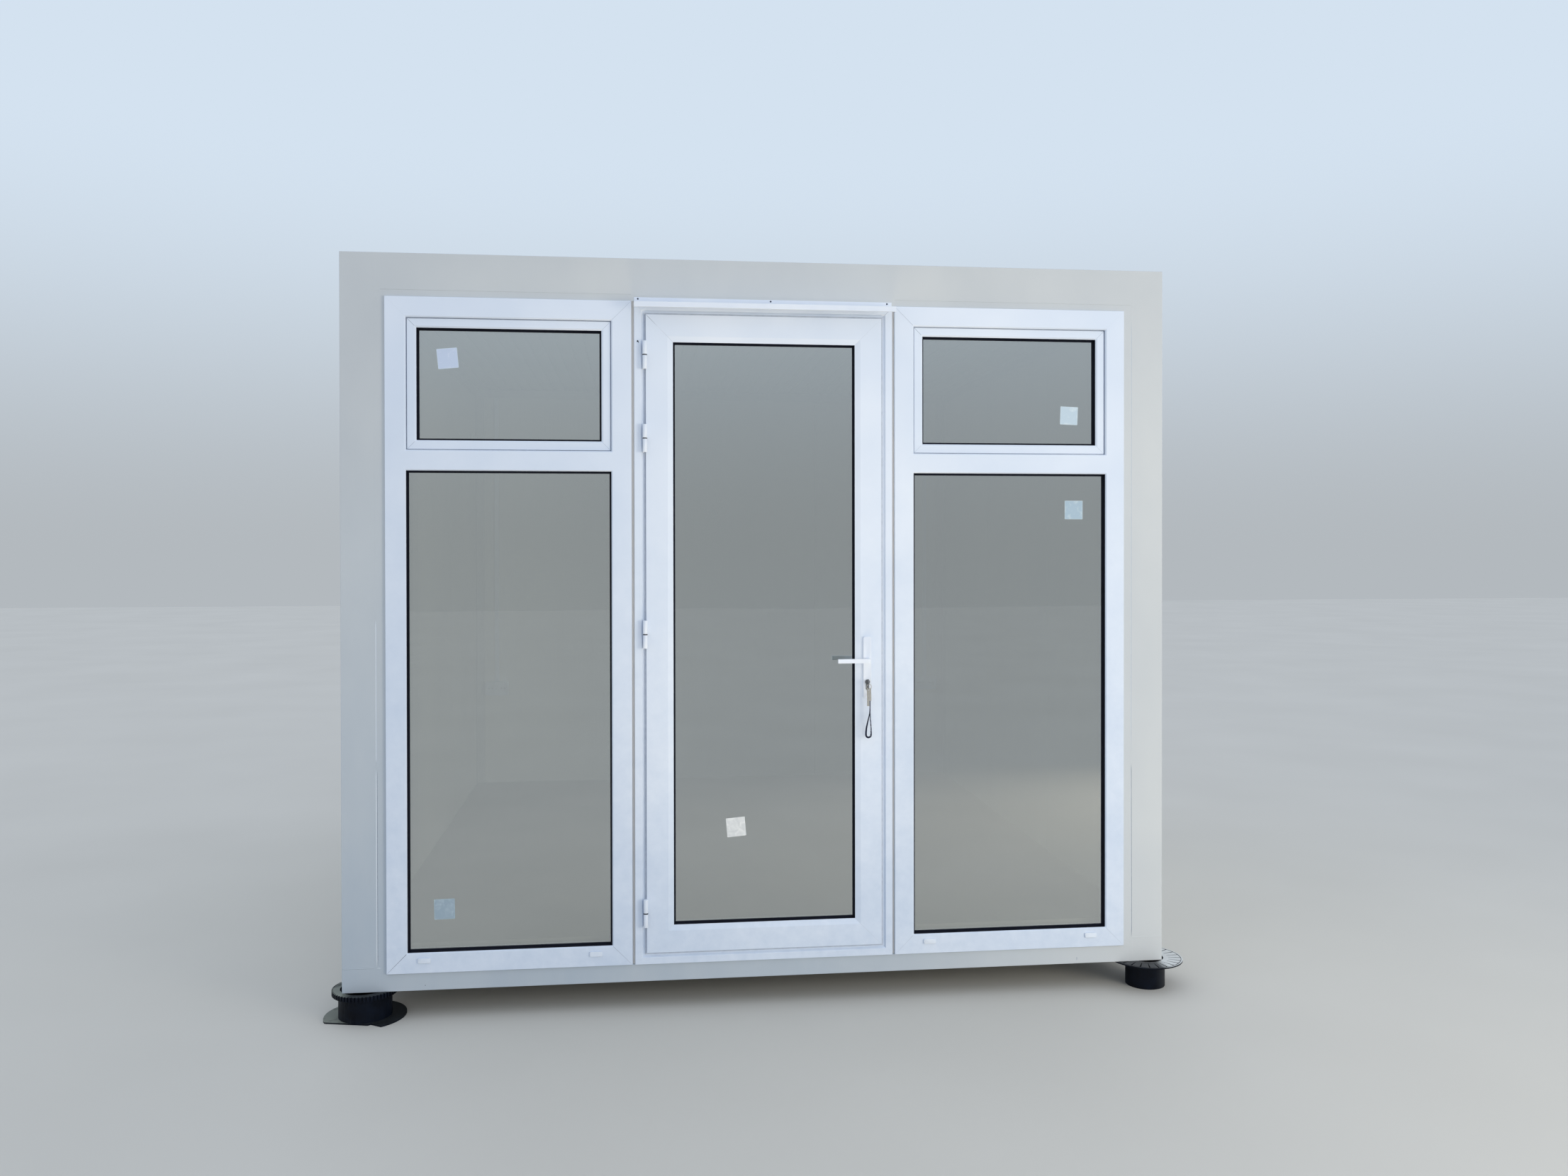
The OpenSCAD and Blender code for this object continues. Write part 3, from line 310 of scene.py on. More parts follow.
def paintedSteel(name, light, dark, shadeAndDirtShare):
    # sprayed cream-grey paint on folded steel: satin, with a slight orange peel; faint
    # warm and cool clouds that are a painted reflection of the surroundings; and a cool
    # blue-grey film, mostly painted shade and partly rain dirt, that thickens downwards and
    # towards the left end of the front
    finish, shader, place = startFinish(name, light, 0.42)
    clouds = noiseOf(place, 2.2, 3.0, (1.0, 1.0, 0.6), Roughness=0.55)
    filmPatches = noiseOf(place, 5.0, 5.0, (1.0, 1.0, 0.35), Roughness=0.6)
    low = remap(coordinate(place, "Z"), (0.3, 2.2), (shadeAndDirtShare, 0.0))
    left = remap(coordinate(place, "X"), (0.2, 1.5), (1.0, 0.0))
    front = remap(coordinate(place, "Y"), (-1.5, -1.1), (1.0, 0.35))
    # painted shade: the cool film is strongest low down at the left end of the front
    shadeAndDirtFilm = maths("MULTIPLY", low, maths("MULTIPLY", left, front))
    dustAndPaintedLight = maths("MULTIPLY", shadeAndDirtFilm, remap(filmPatches, (0.3, 0.7), (0.8, 1.15)))
    ramp = colourRamp(clouds, [(0.3, dark), (0.7, light)])
    overlay(shader, dustAndPaintedLight, ramp, "#8ea5bb")
    peel = noiseOf(place, 420.0, 2.0)
    waves = noiseOf(place, 6.0, 1.0)
    bumpFrom(shader, maths("MULTIPLY_ADD", waves, 6.0, peel), 0.00012, 0.6)
    drive(remap(clouds, (0.0, 1.0), (0.36, 0.5)), shader, "Roughness")
    return finish


def coatedPanel():
    # polyester-coated steel skin of a sandwich panel: satin off-white with upright
    # micro ribs that catch the light as fine lines, and faint rain streaks
    finish, shader, place = startFinish("coatedPanelSkin", "#dfe1de", 0.4)
    clouds = noiseOf(place, 1.7, 3.0)
    streaks = noiseOf(place, 7.0, 3.0, (1.0, 1.0, 0.05))
    ramp = colourRamp(clouds, [(0.3, "#d8dbd9"), (0.7, "#e4e6e2")])
    overlay(shader, remap(streaks, (0.5, 0.8), (0.0, 0.12)), ramp, "#b4b3aa")
    # x + y runs along every wall; 40 steps a metre put the ribs 25 mm apart
    run = maths("ADD", coordinate(place, "X"), coordinate(place, "Y"))
    rib = maths("PINGPONG", maths("MULTIPLY", run, 40.0), 0.5)
    edge = remap(rib, (0.18, 0.3), interpolation_type="SMOOTHSTEP")
    bumpFrom(shader, edge, 0.0004, 0.5)
    return finish


def zincSteel():
    # hot-dip galvanised sheet: grey with a soft spangle of crystals 15 to 25 mm wide
    finish, shader, place = startFinish("galvanisedSheet", "#aeb4b8", 0.42, metallic=0.85)
    tone = addNode(finish.node_tree, "SeparateColor", {},
                   {"Color": cellsOf(place, 55.0, "Color")})
    ramp = colourRamp((tone, "Red"), [(0.0, "#9aa1a6"), (1.0, "#bcc2c5")])
    stain = noiseOf(place, 5.0, 5.0)
    overlay(shader, remap(stain, (0.45, 0.75), (0.0, 0.5)), ramp, "#8b8c87")
    drive(remap((tone, "Green"), (0.0, 1.0), (0.32, 0.52)), shader, "Roughness")
    bumpFrom(shader, stain, 0.0004, 0.3)
    return finish


def vinylFloor():
    # sheet vinyl on the floor board: grey-beige with a fine speckle, slightly worn
    finish, shader, place = startFinish("speckledVinylFloor", "#8d8f89", 0.45)
    specks = cellsOf(place, 260.0, "Distance")
    tone = maths("MULTIPLY_ADD", specks, 0.35, noiseOf(place, 3.0, 5.0))
    drive(colourRamp(tone, [(0.35, "#7f817a"), (0.85, "#a09f97")]), shader)
    bumpFrom(shader, specks, 0.0002, 0.4)
    return finish


def extrudedPvc(name="extrudedWhitePvc", dark="#dfe8f5", light="#ecf2fb"):
    # white extruded PVC profile: cool white, partly a painted blue cast of shade, smooth
    # and half glossy, with a slight wave from the die, soft blotches, and a blue-grey film,
    # mostly painted shade and partly dust, that thickens downwards
    finish, shader, place = startFinish(name, light, 0.26, coat=0.15)
    clouds = noiseOf(place, 3.0, 2.0)
    filmBlotches = noiseOf(place, 22.0, 4.0, Roughness=0.6)
    # painted shade: a blue-grey laid over the white, stronger downwards
    low = remap(coordinate(place, "Z"), (0.15, 2.3), (0.48, 0.0))
    ramp = colourRamp(clouds, [(0.25, dark), (0.75, light)])
    overlay(shader, maths("MULTIPLY", low, filmBlotches), ramp, "#a9bdd6")
    bumpFrom(shader, noiseOf(place, 12.0, 1.0), 0.0004, 0.25)
    return finish


def coatedAluminium():
    # powder-coated aluminium of the cap, hinges and handle: white, a fine grain in the
    # gloss
    finish, shader, place = startFinish("powderCoatedAluminium", "#eaf0f8", 0.3, coat=0.2)
    clouds = noiseOf(place, 8.0, 2.0)
    drive(colourRamp(clouds, [(0.2, "#e4ebf6"), (0.8, "#f0f4fa")]), shader)
    bumpFrom(shader, noiseOf(place, 900.0, 2.0), 0.00005, 0.5)
    return finish


def floatGlass():
    # sealed unit of float glass: clear with a faint green-grey cast, it mirrors a good
    # part of the light sky and ground before it, and daylight falls through unweakened
    finish = bpy.data.materials.new("tintedFloatGlass")
    finish.use_nodes = True
    tree = finish.node_tree
    tree.nodes.remove(tree.nodes["Principled BSDF"])
    place = (addNode(tree, "TexCoord"), "Object")
    clear = addNode(tree, "BsdfTransparent", {"Color": hexColour("#ecefeb")})
    unweakened = addNode(tree, "BsdfTransparent", {"Color": hexColour("#ffffff")})
    mirror = addNode(tree, "BsdfGlossy", {"Color": hexColour("#f0f2f0"), "Roughness": 0.015})
    bumpFrom(mirror, noiseOf(place, 1.6, 1.0), 0.01, 0.05)
    edge = (addNode(tree, "LayerWeight", {"Blend": 0.25}), "Fresnel")
    share = remap(edge, (0.0, 1.0), (0.57, 0.9))
    # the mirror is the outer pane's front face; the inner faces hardly show
    behindFront = (-1.570, -1.568)  # y in metres, where the inner faces begin
    outer = remap(coordinate(place, "Y"), behindFront, (1.0, 0.08))
    both = addNode(tree, "MixShader", {}, {"Fac": maths("MULTIPLY", share, outer),
                                           1: (clear, "BSDF"), 2: (mirror, "BSDF")})
    rays = addNode(tree, "LightPath")
    pane = addNode(tree, "MixShader", {}, {"Fac": (rays, "Is Shadow Ray"),
                                           1: (both, "Shader"), 2: (unweakened, "BSDF")})
    drive((pane, "Shader"), tree.nodes["Material Output"], "Surface")
    return finish


def blackRubber():
    # extruded rubber gasket: blue-black with a dull bloom
    return grainedFinish("extrudedBlackRubber", "#0a0c19", 0.6, (40.0, 4.0),
                         [(0.3, "#060816"), (0.7, "#0f1223")], (0.0002, 0.4),
                         specular=0.3)


def greySeal():
    # soft grey lip seal between the leaf and its frame, slightly mottled
    return grainedFinish("greyLipSeal", "#c4cad4", 0.6, (60.0, 3.0),
                         [(0.3, "#bcc3cf"), (0.7, "#ccd2dc")], (0.0002, 0.3),
                         specular=0.3)


def plainNickel(name, dark, light, roughness):
    # nickel plate on brass, finely scratched upright
    return grainedFinish(name, light, roughness, (1500.0, 3.0, (1.0, 1.0, 0.12)),
                         [(0.3, dark), (0.7, light)], (0.00006, 0.6), metallic=0.9)


def wovenStrap():
    # woven polyester strap: navy with a ribbed weave; light weft specks about 3 mm apart
    # show where the shade attribute rises
    finish, shader, place = startFinish("wovenNavyPolyester", "#0e1330", 0.8)
    shader.inputs["Sheen Weight"].default_value = 0.1
    threads = (addNode(finish.node_tree, "TexWave", {"Scale": 450.0, "Distortion": 1.5},
                       {"Vector": place}), "Fac")
    specks = remap(cellsOf(place, 330.0, "Distance"), (0.42, 0.3))
    light = maths("MULTIPLY", specks, shadeOf(finish))
    ramp = colourRamp(threads, [(0.0, "#080b22"), (1.0, "#141a3a")])
    overlay(shader, light, ramp, "#c3cadb")
    bumpFrom(shader, threads, 0.0003, 0.7)
    return finish


def mouldedPlastic(name, paleShare, paleColour, cover):
    # moulded black plastic of the spools: dull blue-black; a pale layer, partly dust and
    # partly painted sunlight, lies on whatever faces up outside the cabin's footprint, and
    # the rest stays dark as the cabin's painted shadow
    finish, shader, place = startFinish(name, "#04060f", 0.55, specular=0.14)
    patches = noiseOf(place, 14.0, 6.0, Roughness=0.7)
    facing = (addNode(finish.node_tree, "NewGeometry"), "Normal")
    level = remap(coordinate(facing, "Z"), (0.2, 0.9), (0.02, paleShare))
    # painted sunlight and shadow: the pale layer fades out inside the cabin's sides
    beside = maths("ABSOLUTE", coordinate(place, "X"))
    layer = maths("MULTIPLY", level, remap(beside, (1.465, 1.5), (0.1, 1.0)))
    ragged = remap(patches, (cover, cover + 0.25))
    dustAndPaintedLight = maths("MULTIPLY", layer, ragged, use_clamp=True)
    ramp = colourRamp(patches, [(0.3, "#03050d"), (0.75, "#0c1524")])
    overlay(shader, dustAndPaintedLight, ramp, paleColour)
    bumpFrom(shader, patches, 0.0008, 0.5)
    return finish


def paperSticker(name, colour, fleck, rimColour, share):
    # blank paper label on the glass: pale grey-blue, matt, with a lighter edge and light
    # flecks where it has creased and come off the glass
    finish, shader, place = startFinish(name, colour, 0.55)
    creases = noiseOf(place, 45.0, 3.0, Distortion=0.8)
    ramp = colourRamp(creases, [(0.66 - share, colour), (0.72, fleck)])
    overlay(shader, shadeOf(finish), ramp, rimColour)
    bumpFrom(shader, creases, 0.0003, 0.12)
    return finish


def dirtInSeam():
    # shade and dirt that sit in a weld seam, a scratch or a hole; the shade attribute
    # sets how dark it is, from the white of the profile to black
    finish, shader, place = startFinish("dirtInSeam", "#8b94a6", 0.7, specular=0.3)
    uneven = remap(noiseOf(place, 120.0, 3.0), (0.0, 1.0), (0.75, 1.2))
    depth = maths("MULTIPLY", shadeOf(finish), uneven, use_clamp=True)
    # the first two stops are the ends
    stops = [(0.0, "#e0e6f0"), (1.0, "#14171d"), (0.3, "#b0b8c6"), (0.65, "#6d7482")]
    drive(colourRamp(depth, stops), shader)
    return finish


def zincScrew():
    # passivated zinc on small screws: dark blue-grey, blotchy
    finish, shader, place = startFinish("passivatedZincScrew", "#3c4048", 0.45, metallic=0.6)
    blotches = noiseOf(place, 300.0, 3.0)
    drive(colourRamp(blotches, [(0.3, "#222a3a"), (0.7, "#4a5364")]), shader)
    return finish


finishes = {
    "frame_steel": paintedSteel("sprayPaintedSteel", "#d5d7d6", "#cbcecf", 0.42),
    "panel_steel": coatedPanel(),
    "zinc_steel": zincSteel(),
    "floor_wood": vinylFloor(),
    "white_pvc": extrudedPvc(),
    "white_aluminium": coatedAluminium(),
    "clear_glass": floatGlass(),
    "black_rubber": blackRubber(),
    "nickel": plainNickel("nickelPlatedBrass", "#c6beb2", "#ebe4d8", 0.38),
    "woven_cord": wovenStrap(),
    "black_plastic": mouldedPlastic("mouldedBlackPlastic", 0.97, "#dcddda", 0.12),
}
# some nodes differ a little from the finish of their slot
ownFinish = {
    # the worn spool: pale dust and painted sunlight on its flange's outer end
    "worn_spool": mouldedPlastic("blackPlasticDustAndPaintedSun", 0.85, "#8b8f84", 0.25),
    # the webs in the unit gaps: beige paint, lightened as painted light against the shade deep
    # in the gaps
    "front_mullions": paintedSteel("gapWebWithPaintedLight", "#f3ece2", "#ece4da", 0.1),
    # drain caps: whiter than the frame, partly a painted highlight of their rounded fronts
    "drain_caps": extrudedPvc("mouldedDrainCapPaintedHighlight", "#eaf0f9", "#f7fafe"),
    "lock_cylinder": plainNickel("darkNickelLock", "#77777a", "#a09f9c", 0.35),
}
seamFinish = dirtInSeam()
highlightBeadFinish = paintedSteel("sealantBeadPaintedHighlight", "#edf0f1", "#e5e9eb", 0.25)
screwFinish = zincScrew()
sealFinish = greySeal()
slotOf = {part["node"]: part["material_slot"] for part in frame["record"]["subparts"]}
for name, node in frame["nodes"].items():
    node.data.materials.clear()
    node.data.materials.append(ownFinish.get(name, finishes[slotOf[name]]))
print("finishes on", len(frame["nodes"]), "nodes")

# lanyard: a flat woven strap, folded to a loop whose ends are held in the clip
strap = {
    "width": 0.0068,
    "thickness": 0.0011,
    "squareness": 0.6,
    "perMetre": 1000,  # the route's points are in mm, as in the solids
    "down": [(372.6, -1642.8, 1107), (372.6, -1642.8, 1096), (372.3, -1642.8, 1083),
             (371.6, -1642.7, 1071), (370.2, -1642.5, 1059), (367.9, -1642.3, 1047),
             (365, -1642.1, 1035), (362.2, -1641.9, 1023), (359.8, -1641.8, 1011),
             (358.2, -1641.6, 999), (357.6, -1641.5, 991)],
    "loopMiddle": (366.9, -1641.5, 983),
    "loopRadius": 9.3,
    "up": [(376.4, -1641.4, 992), (376.4, -1641.3, 1002), (375.9, -1641.2, 1013),
           (375.1, -1641, 1025), (374.3, -1640.8, 1037), (373.6, -1640.6, 1049),
           (373.1, -1640.4, 1061), (372.9, -1640.3, 1073), (372.8, -1640.2, 1085),
           (372.8, -1640.2, 1097), (372.8, -1640.2, 1107)],
    "rings": 170,
    "sides": 14,
    # how far the flat side turns from the front, in degrees, at shares of the length
    "turnAt": (0.0, 0.16, 0.28, 0.4, 0.5, 0.62, 0.84, 1.0),
    "turns": (56, 52, 34, 8, 0, -40, -52, -56),
    # the light specks of the weave show on the strand that goes back up
    "specksAt": (0.5, 0.6, 0.9, 1),
    "specks": (0.0, 1.0, 0.8, 0.0),
}


def makeStrap(s):
    angle = np.radians(np.arange(180, 361, 30))
    loop = np.array(s["loopMiddle"]) + s["loopRadius"] * np.column_stack(
        [np.cos(angle), np.zeros(len(angle)), np.sin(angle)])
    route = np.vstack([s["down"], loop, s["up"]]) / s["perMetre"]
    path = smoothPath(route, s["rings"])
    path[0], path[-1] = route[0], route[-1]
    slope = unit(np.gradient(path, axis=0))
    front = np.array([0.0, -1.0, 0.0])
    across = unit(np.cross(slope, front))
    share = np.linspace(0, 1, s["rings"])
    turn = np.radians(np.interp(share, s["turnAt"], s["turns"]))[:, None]
    wide = across * np.cos(turn) + front * np.sin(turn)
    thin = np.cross(slope, wide)
    # section: a flattened superellipse, x = w cos^p and y = t sin^p with their signs
    rim = circle(s["sides"])
    section = np.sign(rim) * np.abs(rim) ** s["squareness"]
    section *= [s["width"] / 2, s["thickness"] / 2]
    points, faces = sweep(path, wide, thin, section)
    shade = np.repeat(np.interp(share, s["specksAt"], s["specks"]), s["sides"])
    piece = addPiece("lanyardStrap", points, faces, "woven_cord", body="door", smooth=True,
                     shade=shade)
    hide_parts("key_lanyard")


makeStrap(strap)
print("lanyard strap made")

# softened edges: folded steel and profiles have no knife edges; loose triangles are
# joined and flat areas cleared before the edges are rounded
softEdges = {
    "skip": ["window_panes", "door_pane", "roof_sheet", "ceiling_board", "keys",
             "key_lanyard", "floor_joists", "roof_joists", "support_spools"],
    "widths": {"frame_steel": 0.0018, "panel_steel": 0.0008, "white_pvc": 0.0009,
               "white_aluminium": 0.0009, "floor_wood": 0.0005, "black_rubber": 0.0003,
               "nickel": 0.0003, "black_plastic": 0.0008},
    "otherWidth": 0.001,
    "mergeWithin": 0.00002,
    "flatWithin": 0.6,  # degrees
    "roundFrom": 35,  # degrees
}


def roundEdges(piece, width, fromAngle):
    # edges that turn by more than the angle in degrees get two narrow faces
    bevel = piece.modifiers.new("softEdge", "BEVEL")
    bevel.width = width
    bevel.segments = 2
    bevel.limit_method = "ANGLE"
    bevel.angle_limit = math.radians(fromAngle)
    bevel.harden_normals = True


for name, node in frame["nodes"].items():
    if name in softEdges["skip"]:
        continue
    weld = node.modifiers.new("weld", "WELD")
    weld.merge_threshold = softEdges["mergeWithin"]
    clear = node.modifiers.new("clearFlats", "DECIMATE")
    clear.decimate_type = "DISSOLVE"
    clear.angle_limit = math.radians(softEdges["flatWithin"])
    roundEdges(node, softEdges["widths"].get(slotOf[name], softEdges["otherWidth"]),
               softEdges["roundFrom"])
print("edges softened")

# places that several pieces share: the y of the steel's front face, and the heights of
# the roof rail's underside and of the frame's underside
steelFace = spanOf("post_front_left")[0][1]
railFoot = spanOf("roof_rail_front")[0][2]
underside = spanOf("base_corners")[0][2]

# painted joints: the frame's welds were ground and sprayed over, so thin plates in the
# same paint close the joints of the front face; all spans are x0, x1, z0, z1 in metres
paintedJoints = {
    "proud": 0.00008,  # front of the first plate before the steel's face
    "sunk": 0.00003,  # back of every plate behind it
    "step": 0.00001,  # each plate stands this much further out than the last one
    "fade": 0.006,  # width of the sloping edge, at most a third of the plate
    "spans": [(-1.391, -1.373, 2.5735, 2.702), (1.373, 1.391, 2.5735, 2.702),
              (-1.3870, -1.361, 2.565, 2.581), (-1.355, -1.3375, 2.5497, 2.5722),
              (1.3375, 1.355, 2.5497, 2.5722), (1.368, 1.388, 0.104, 0.1925),
              (-1.388, -1.368, 0.104, 0.1925), (-1.384, -1.3465, 0.1575, 0.1755),
              (1.3465, 1.384, 0.1575, 0.1755), (-1.4986, -1.3745, 0.1895, 0.1970),
              (1.3745, 1.4986, 0.1890, 0.1970), (-0.4895, 0.4735, 2.5695, 2.5755),
              (1.3775, 1.3870, 2.565, 2.581)],
    # stretches of the roof rail's joint that keep a shallow groove: x0, x1
    "grooves": [(-1.3615, -0.489), (0.473, 1.3775)],
    "grooveBelow": 0.0013,
    "grooveAbove": 0.0005,
    "grooveDepth": 0.0008,
    "grooveBack": 0.004,
    "grooveEdge": 0.0001,
}


def addPaintedJoints(s):
    plates = []
    for number, (x0, x1, z0, z1) in enumerate(s["spans"]):
        front = steelFace - s["proud"] - number * s["step"]
        plates.append(wedgePlate(x0, x1, z0, z1, front, steelFace + s["sunk"],
                                 min(s["fade"], (z1 - z0) / 3, (x1 - x0) / 3)))
    plates += [wedgePlate(x0, x1, railFoot - s["grooveBelow"], railFoot + s["grooveAbove"],
                          steelFace + s["grooveDepth"], steelFace + s["grooveBack"],
                          s["grooveEdge"]) for x0, x1 in s["grooves"]]
    addPiece("paintedJoints", *shells(plates), "frame_steel")


addPaintedJoints(paintedJoints)

# form of the low beads along slits and welds; each tapers in its last centimetre
beadForm = {"stations": 26, "sides": 10, "endLength": 0.01, "leastTaper": 0.01}


def bead(start, end, width, height, face):
    # a low rounded strip on the face from start to end, both (x, z): a half ellipse
    # carried along, whose size grows as the square root of the way from each end
    t = np.linspace(0, 1, beadForm["stations"])
    run = np.array(end, float) - np.array(start, float)
    length = math.hypot(*run)
    fromEnd = np.minimum(t, 1 - t) * length / beadForm["endLength"]
    taper = np.sqrt(np.clip(fromEnd, beadForm["leastTaper"], 1))[:, None]
    path = np.column_stack([start[0] + run[0] * t, np.full(len(t), face),
                            start[1] + run[1] * t])
    across = np.array([run[1], 0.0, -run[0]]) / length
    section = circle(beadForm["sides"]) * [width / 2, height]
    return sweep(path, across * taper, np.array([0.0, -1.0, 0.0]) * taper, section)


# slits beside the posts: filled flush with painted sealant, whose raised edge is
# painted lighter as a highlight, with a thin dark line of painted shade on its right
slits = {
    "width": 0.005,
    "overlap": 0.0028,
    "endOverlap": 0.001,
    "proud": 0.00006,
    "sunk": 0.00003,
    "fade": 0.0022,
    "beadBase": 0.0001,  # how far the beads' middle plane stands before the face
    "lineHeight": 0.00014,
    # light beads, painted lighter as a highlight: start (x, z), end (x, z), width, height
    "beads": [((-1.3803, 1.410), (-1.3803, 0.906), 0.0030, 0.0004),
              ((-1.3803, 0.888), (-1.3803, 0.187), 0.0044, 0.0006),
              ((-1.3812, 0.1880), (-1.3660, 0.1874), 0.0026, 0.0005),
              ((1.3762, 2.515), (1.3762, 0.895), 0.0008, 0.0001),
              ((1.3764, 0.840), (1.3768, 0.200), 0.0014, 0.0002)],
    # weld on the left corner block, in the frame's own paint
    "weld": ((-1.4985, 0.1885), (-1.3850, 0.1885), 0.0045, 0.0005),
    # dark lines, painted shade in the slit: start, end, width, shade
    "lines": [((-1.3780, 1.405), (-1.3780, 0.906), 0.0010, 0.25),
              ((-1.3771, 0.888), (-1.3767, 0.193), 0.0019, 0.52),
              ((1.3786, 2.517), (1.3786, 0.895), 0.0015, 0.3),
              ((1.3790, 0.850), (1.3804, 0.193), 0.0021, 0.55)],
}


def addSlitFills(s):
    postIn = spanOf("post_front_left")[1][0]
    foot = spanOf("base_corners")[1][2] - s["endOverlap"]
    head = railFoot + s["endOverlap"]
    near, far = postIn - s["overlap"], postIn + s["width"] + s["overlap"]
    fills = [wedgePlate(x0, x1, foot, head, steelFace - s["proud"], steelFace + s["sunk"],
                        s["fade"]) for x0, x1 in ((near, far), (-far, -near))]
    addPiece("slitSealant", *shells(fills), "frame_steel")
    beads = [bead(*row, steelFace - s["beadBase"]) for row in s["beads"]]
    addPiece("slitBeads", *shells(beads), "frame_steel", highlightBeadFinish, smooth=True)
    addPiece("blockWeld", *bead(*s["weld"], steelFace - s["beadBase"]), "frame_steel",
             smooth=True)
    lines = [bead(start, end, width, s["lineHeight"], steelFace - s["proud"])
             for start, end, width, tone in s["lines"]]
    tones = np.repeat([row[3] for row in s["lines"]], [len(points) for points, faces in lines])
    addPiece("slitShade", *shells(lines), "frame_steel", seamFinish, shade=tones)


addSlitFills(slits)

# closers over the two gaps between the units, flush with the strips beside them
gapClosers = {"joints": (-0.4825, 0.4665), "width": 0.0132, "foot": 2.5488,
              "headGap": 0.0008, "proud": 0.0001, "back": 0.0038, "edge": 0.0005}


def addGapClosers(s):
    plates = [wedgePlate(x - s["width"] / 2, x + s["width"] / 2, s["foot"],
                         railFoot - s["headGap"], steelFace - s["proud"],
                         steelFace + s["back"], s["edge"]) for x in s["joints"]]
    addPiece("gapClosers", *shells(plates), "frame_steel")


addGapClosers(gapClosers)
print("joints painted over")

# black lips: the glazing gasket's outer lip lines the wall of every glazing recess;
# spans are the depths from and to, and the inset of the wall from the unit's edge
lips = {"thick": 0.0013, "bite": 0.0001, "cornerCut": 0.0004, "rimDrop": 0.0006,
        "band": 0.072, "lowHead": 1.835, "sashZone": (1.908, 2.374),
        "low": (-1.6057, -1.5904, 0.072), "sash": (-1.5957, -1.5804, 0.035),
        "leaf": (-1.6067, -1.5944, 0.098)}


def lipRing(s, low, high, span):
    front, back, wall = span
    inner, outer = wall + s["thick"], wall - s["bite"]
    cut = s["cornerCut"]
    return frameRing(low, high, [(front + s["rimDrop"], outer), (front, inner - cut),
                                 (front + cut, inner), (back, inner), (back, outer)])


def addLips(s):
    rings = []
    for side in ("left", "right"):
        low, high = spanOf("window_frame_" + side)
        head = high.copy()
        head[2] = underside + s["lowHead"] + s["band"]
        rings.append(lipRing(s, low, head, s["low"]))
        zoneLow = np.array([low[0] + s["band"], 0, underside + s["sashZone"][0]])
        zoneHigh = np.array([high[0] - s["band"], 0, underside + s["sashZone"][1]])
        rings.append(lipRing(s, zoneLow, zoneHigh, s["sash"]))
    addPiece("windowLips", *shells(rings), "black_rubber")
    addPiece("doorLip", *lipRing(s, *spanOf("door_leaf"), s["leaf"]), "black_rubber",
             body="door")


addLips(lips)

# drip cap over the door: the sheet's flange, fall and nose as in the solid, but with a
# shorter nose that leaves more of the door's head in view
dripCap = {"sheet": 0.0018, "root": 0.004, "fall": 0.0145, "nose": 0.0170, "lip": 0.008,
           "gap": 0.0002, "edge": 0.0006, "roundFrom": 30}


def addDripCap(s):
    low, high = spanOf("door_drip_cap")
    head = spanOf("door_frame")[1][2]
    back, out, t = high[1], low[1], s["sheet"]
    top, foot = head + s["root"], head + s["gap"]
    nose, tip = top - s["fall"], top - s["fall"] - s["nose"]
    section = np.array([
        [back, foot], [back, high[2]], [back - t, high[2]], [back - t, top + t],
        [out, nose + t], [out, tip], [out + s["lip"], tip], [out + s["lip"], tip + t],
        [out + t, tip + t], [out + t, nose], [back - t, head + t], [back - t, foot]])
    n = len(section)
    points = np.vstack([np.column_stack([np.full(n, x), section]) for x in (low[0], high[0])])
    ends = [[0, 1, 2, 3, 10, 11], [3, 4, 9, 10], [4, 5, 8, 9], [5, 6, 7, 8]]
    faces = gridFaces(2, n, closedColumns=True) + ends
    faces += [[i + n for i in face] for face in ends]
    cap = addPiece("dripCap", points, faces, "white_aluminium")
    roundEdges(cap, s["edge"], s["roundFrom"])
    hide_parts("door_drip_cap")


addDripCap(dripCap)

# lip seal in the gap round the leaf, set back from the frame's step: depth and inset of
# its section's points, with a rounded front
doorSeal = [(-1.6040, 0.0352), (-1.6050, 0.0362), (-1.6046, 0.0398), (-1.6030, 0.0406),
            (-1.5895, 0.0406), (-1.5895, 0.0352)]
addPiece("doorSeal", *frameRing(*spanOf("door_frame"), doorSeal), "white_pvc", sealFinish)
print("seals fitted")

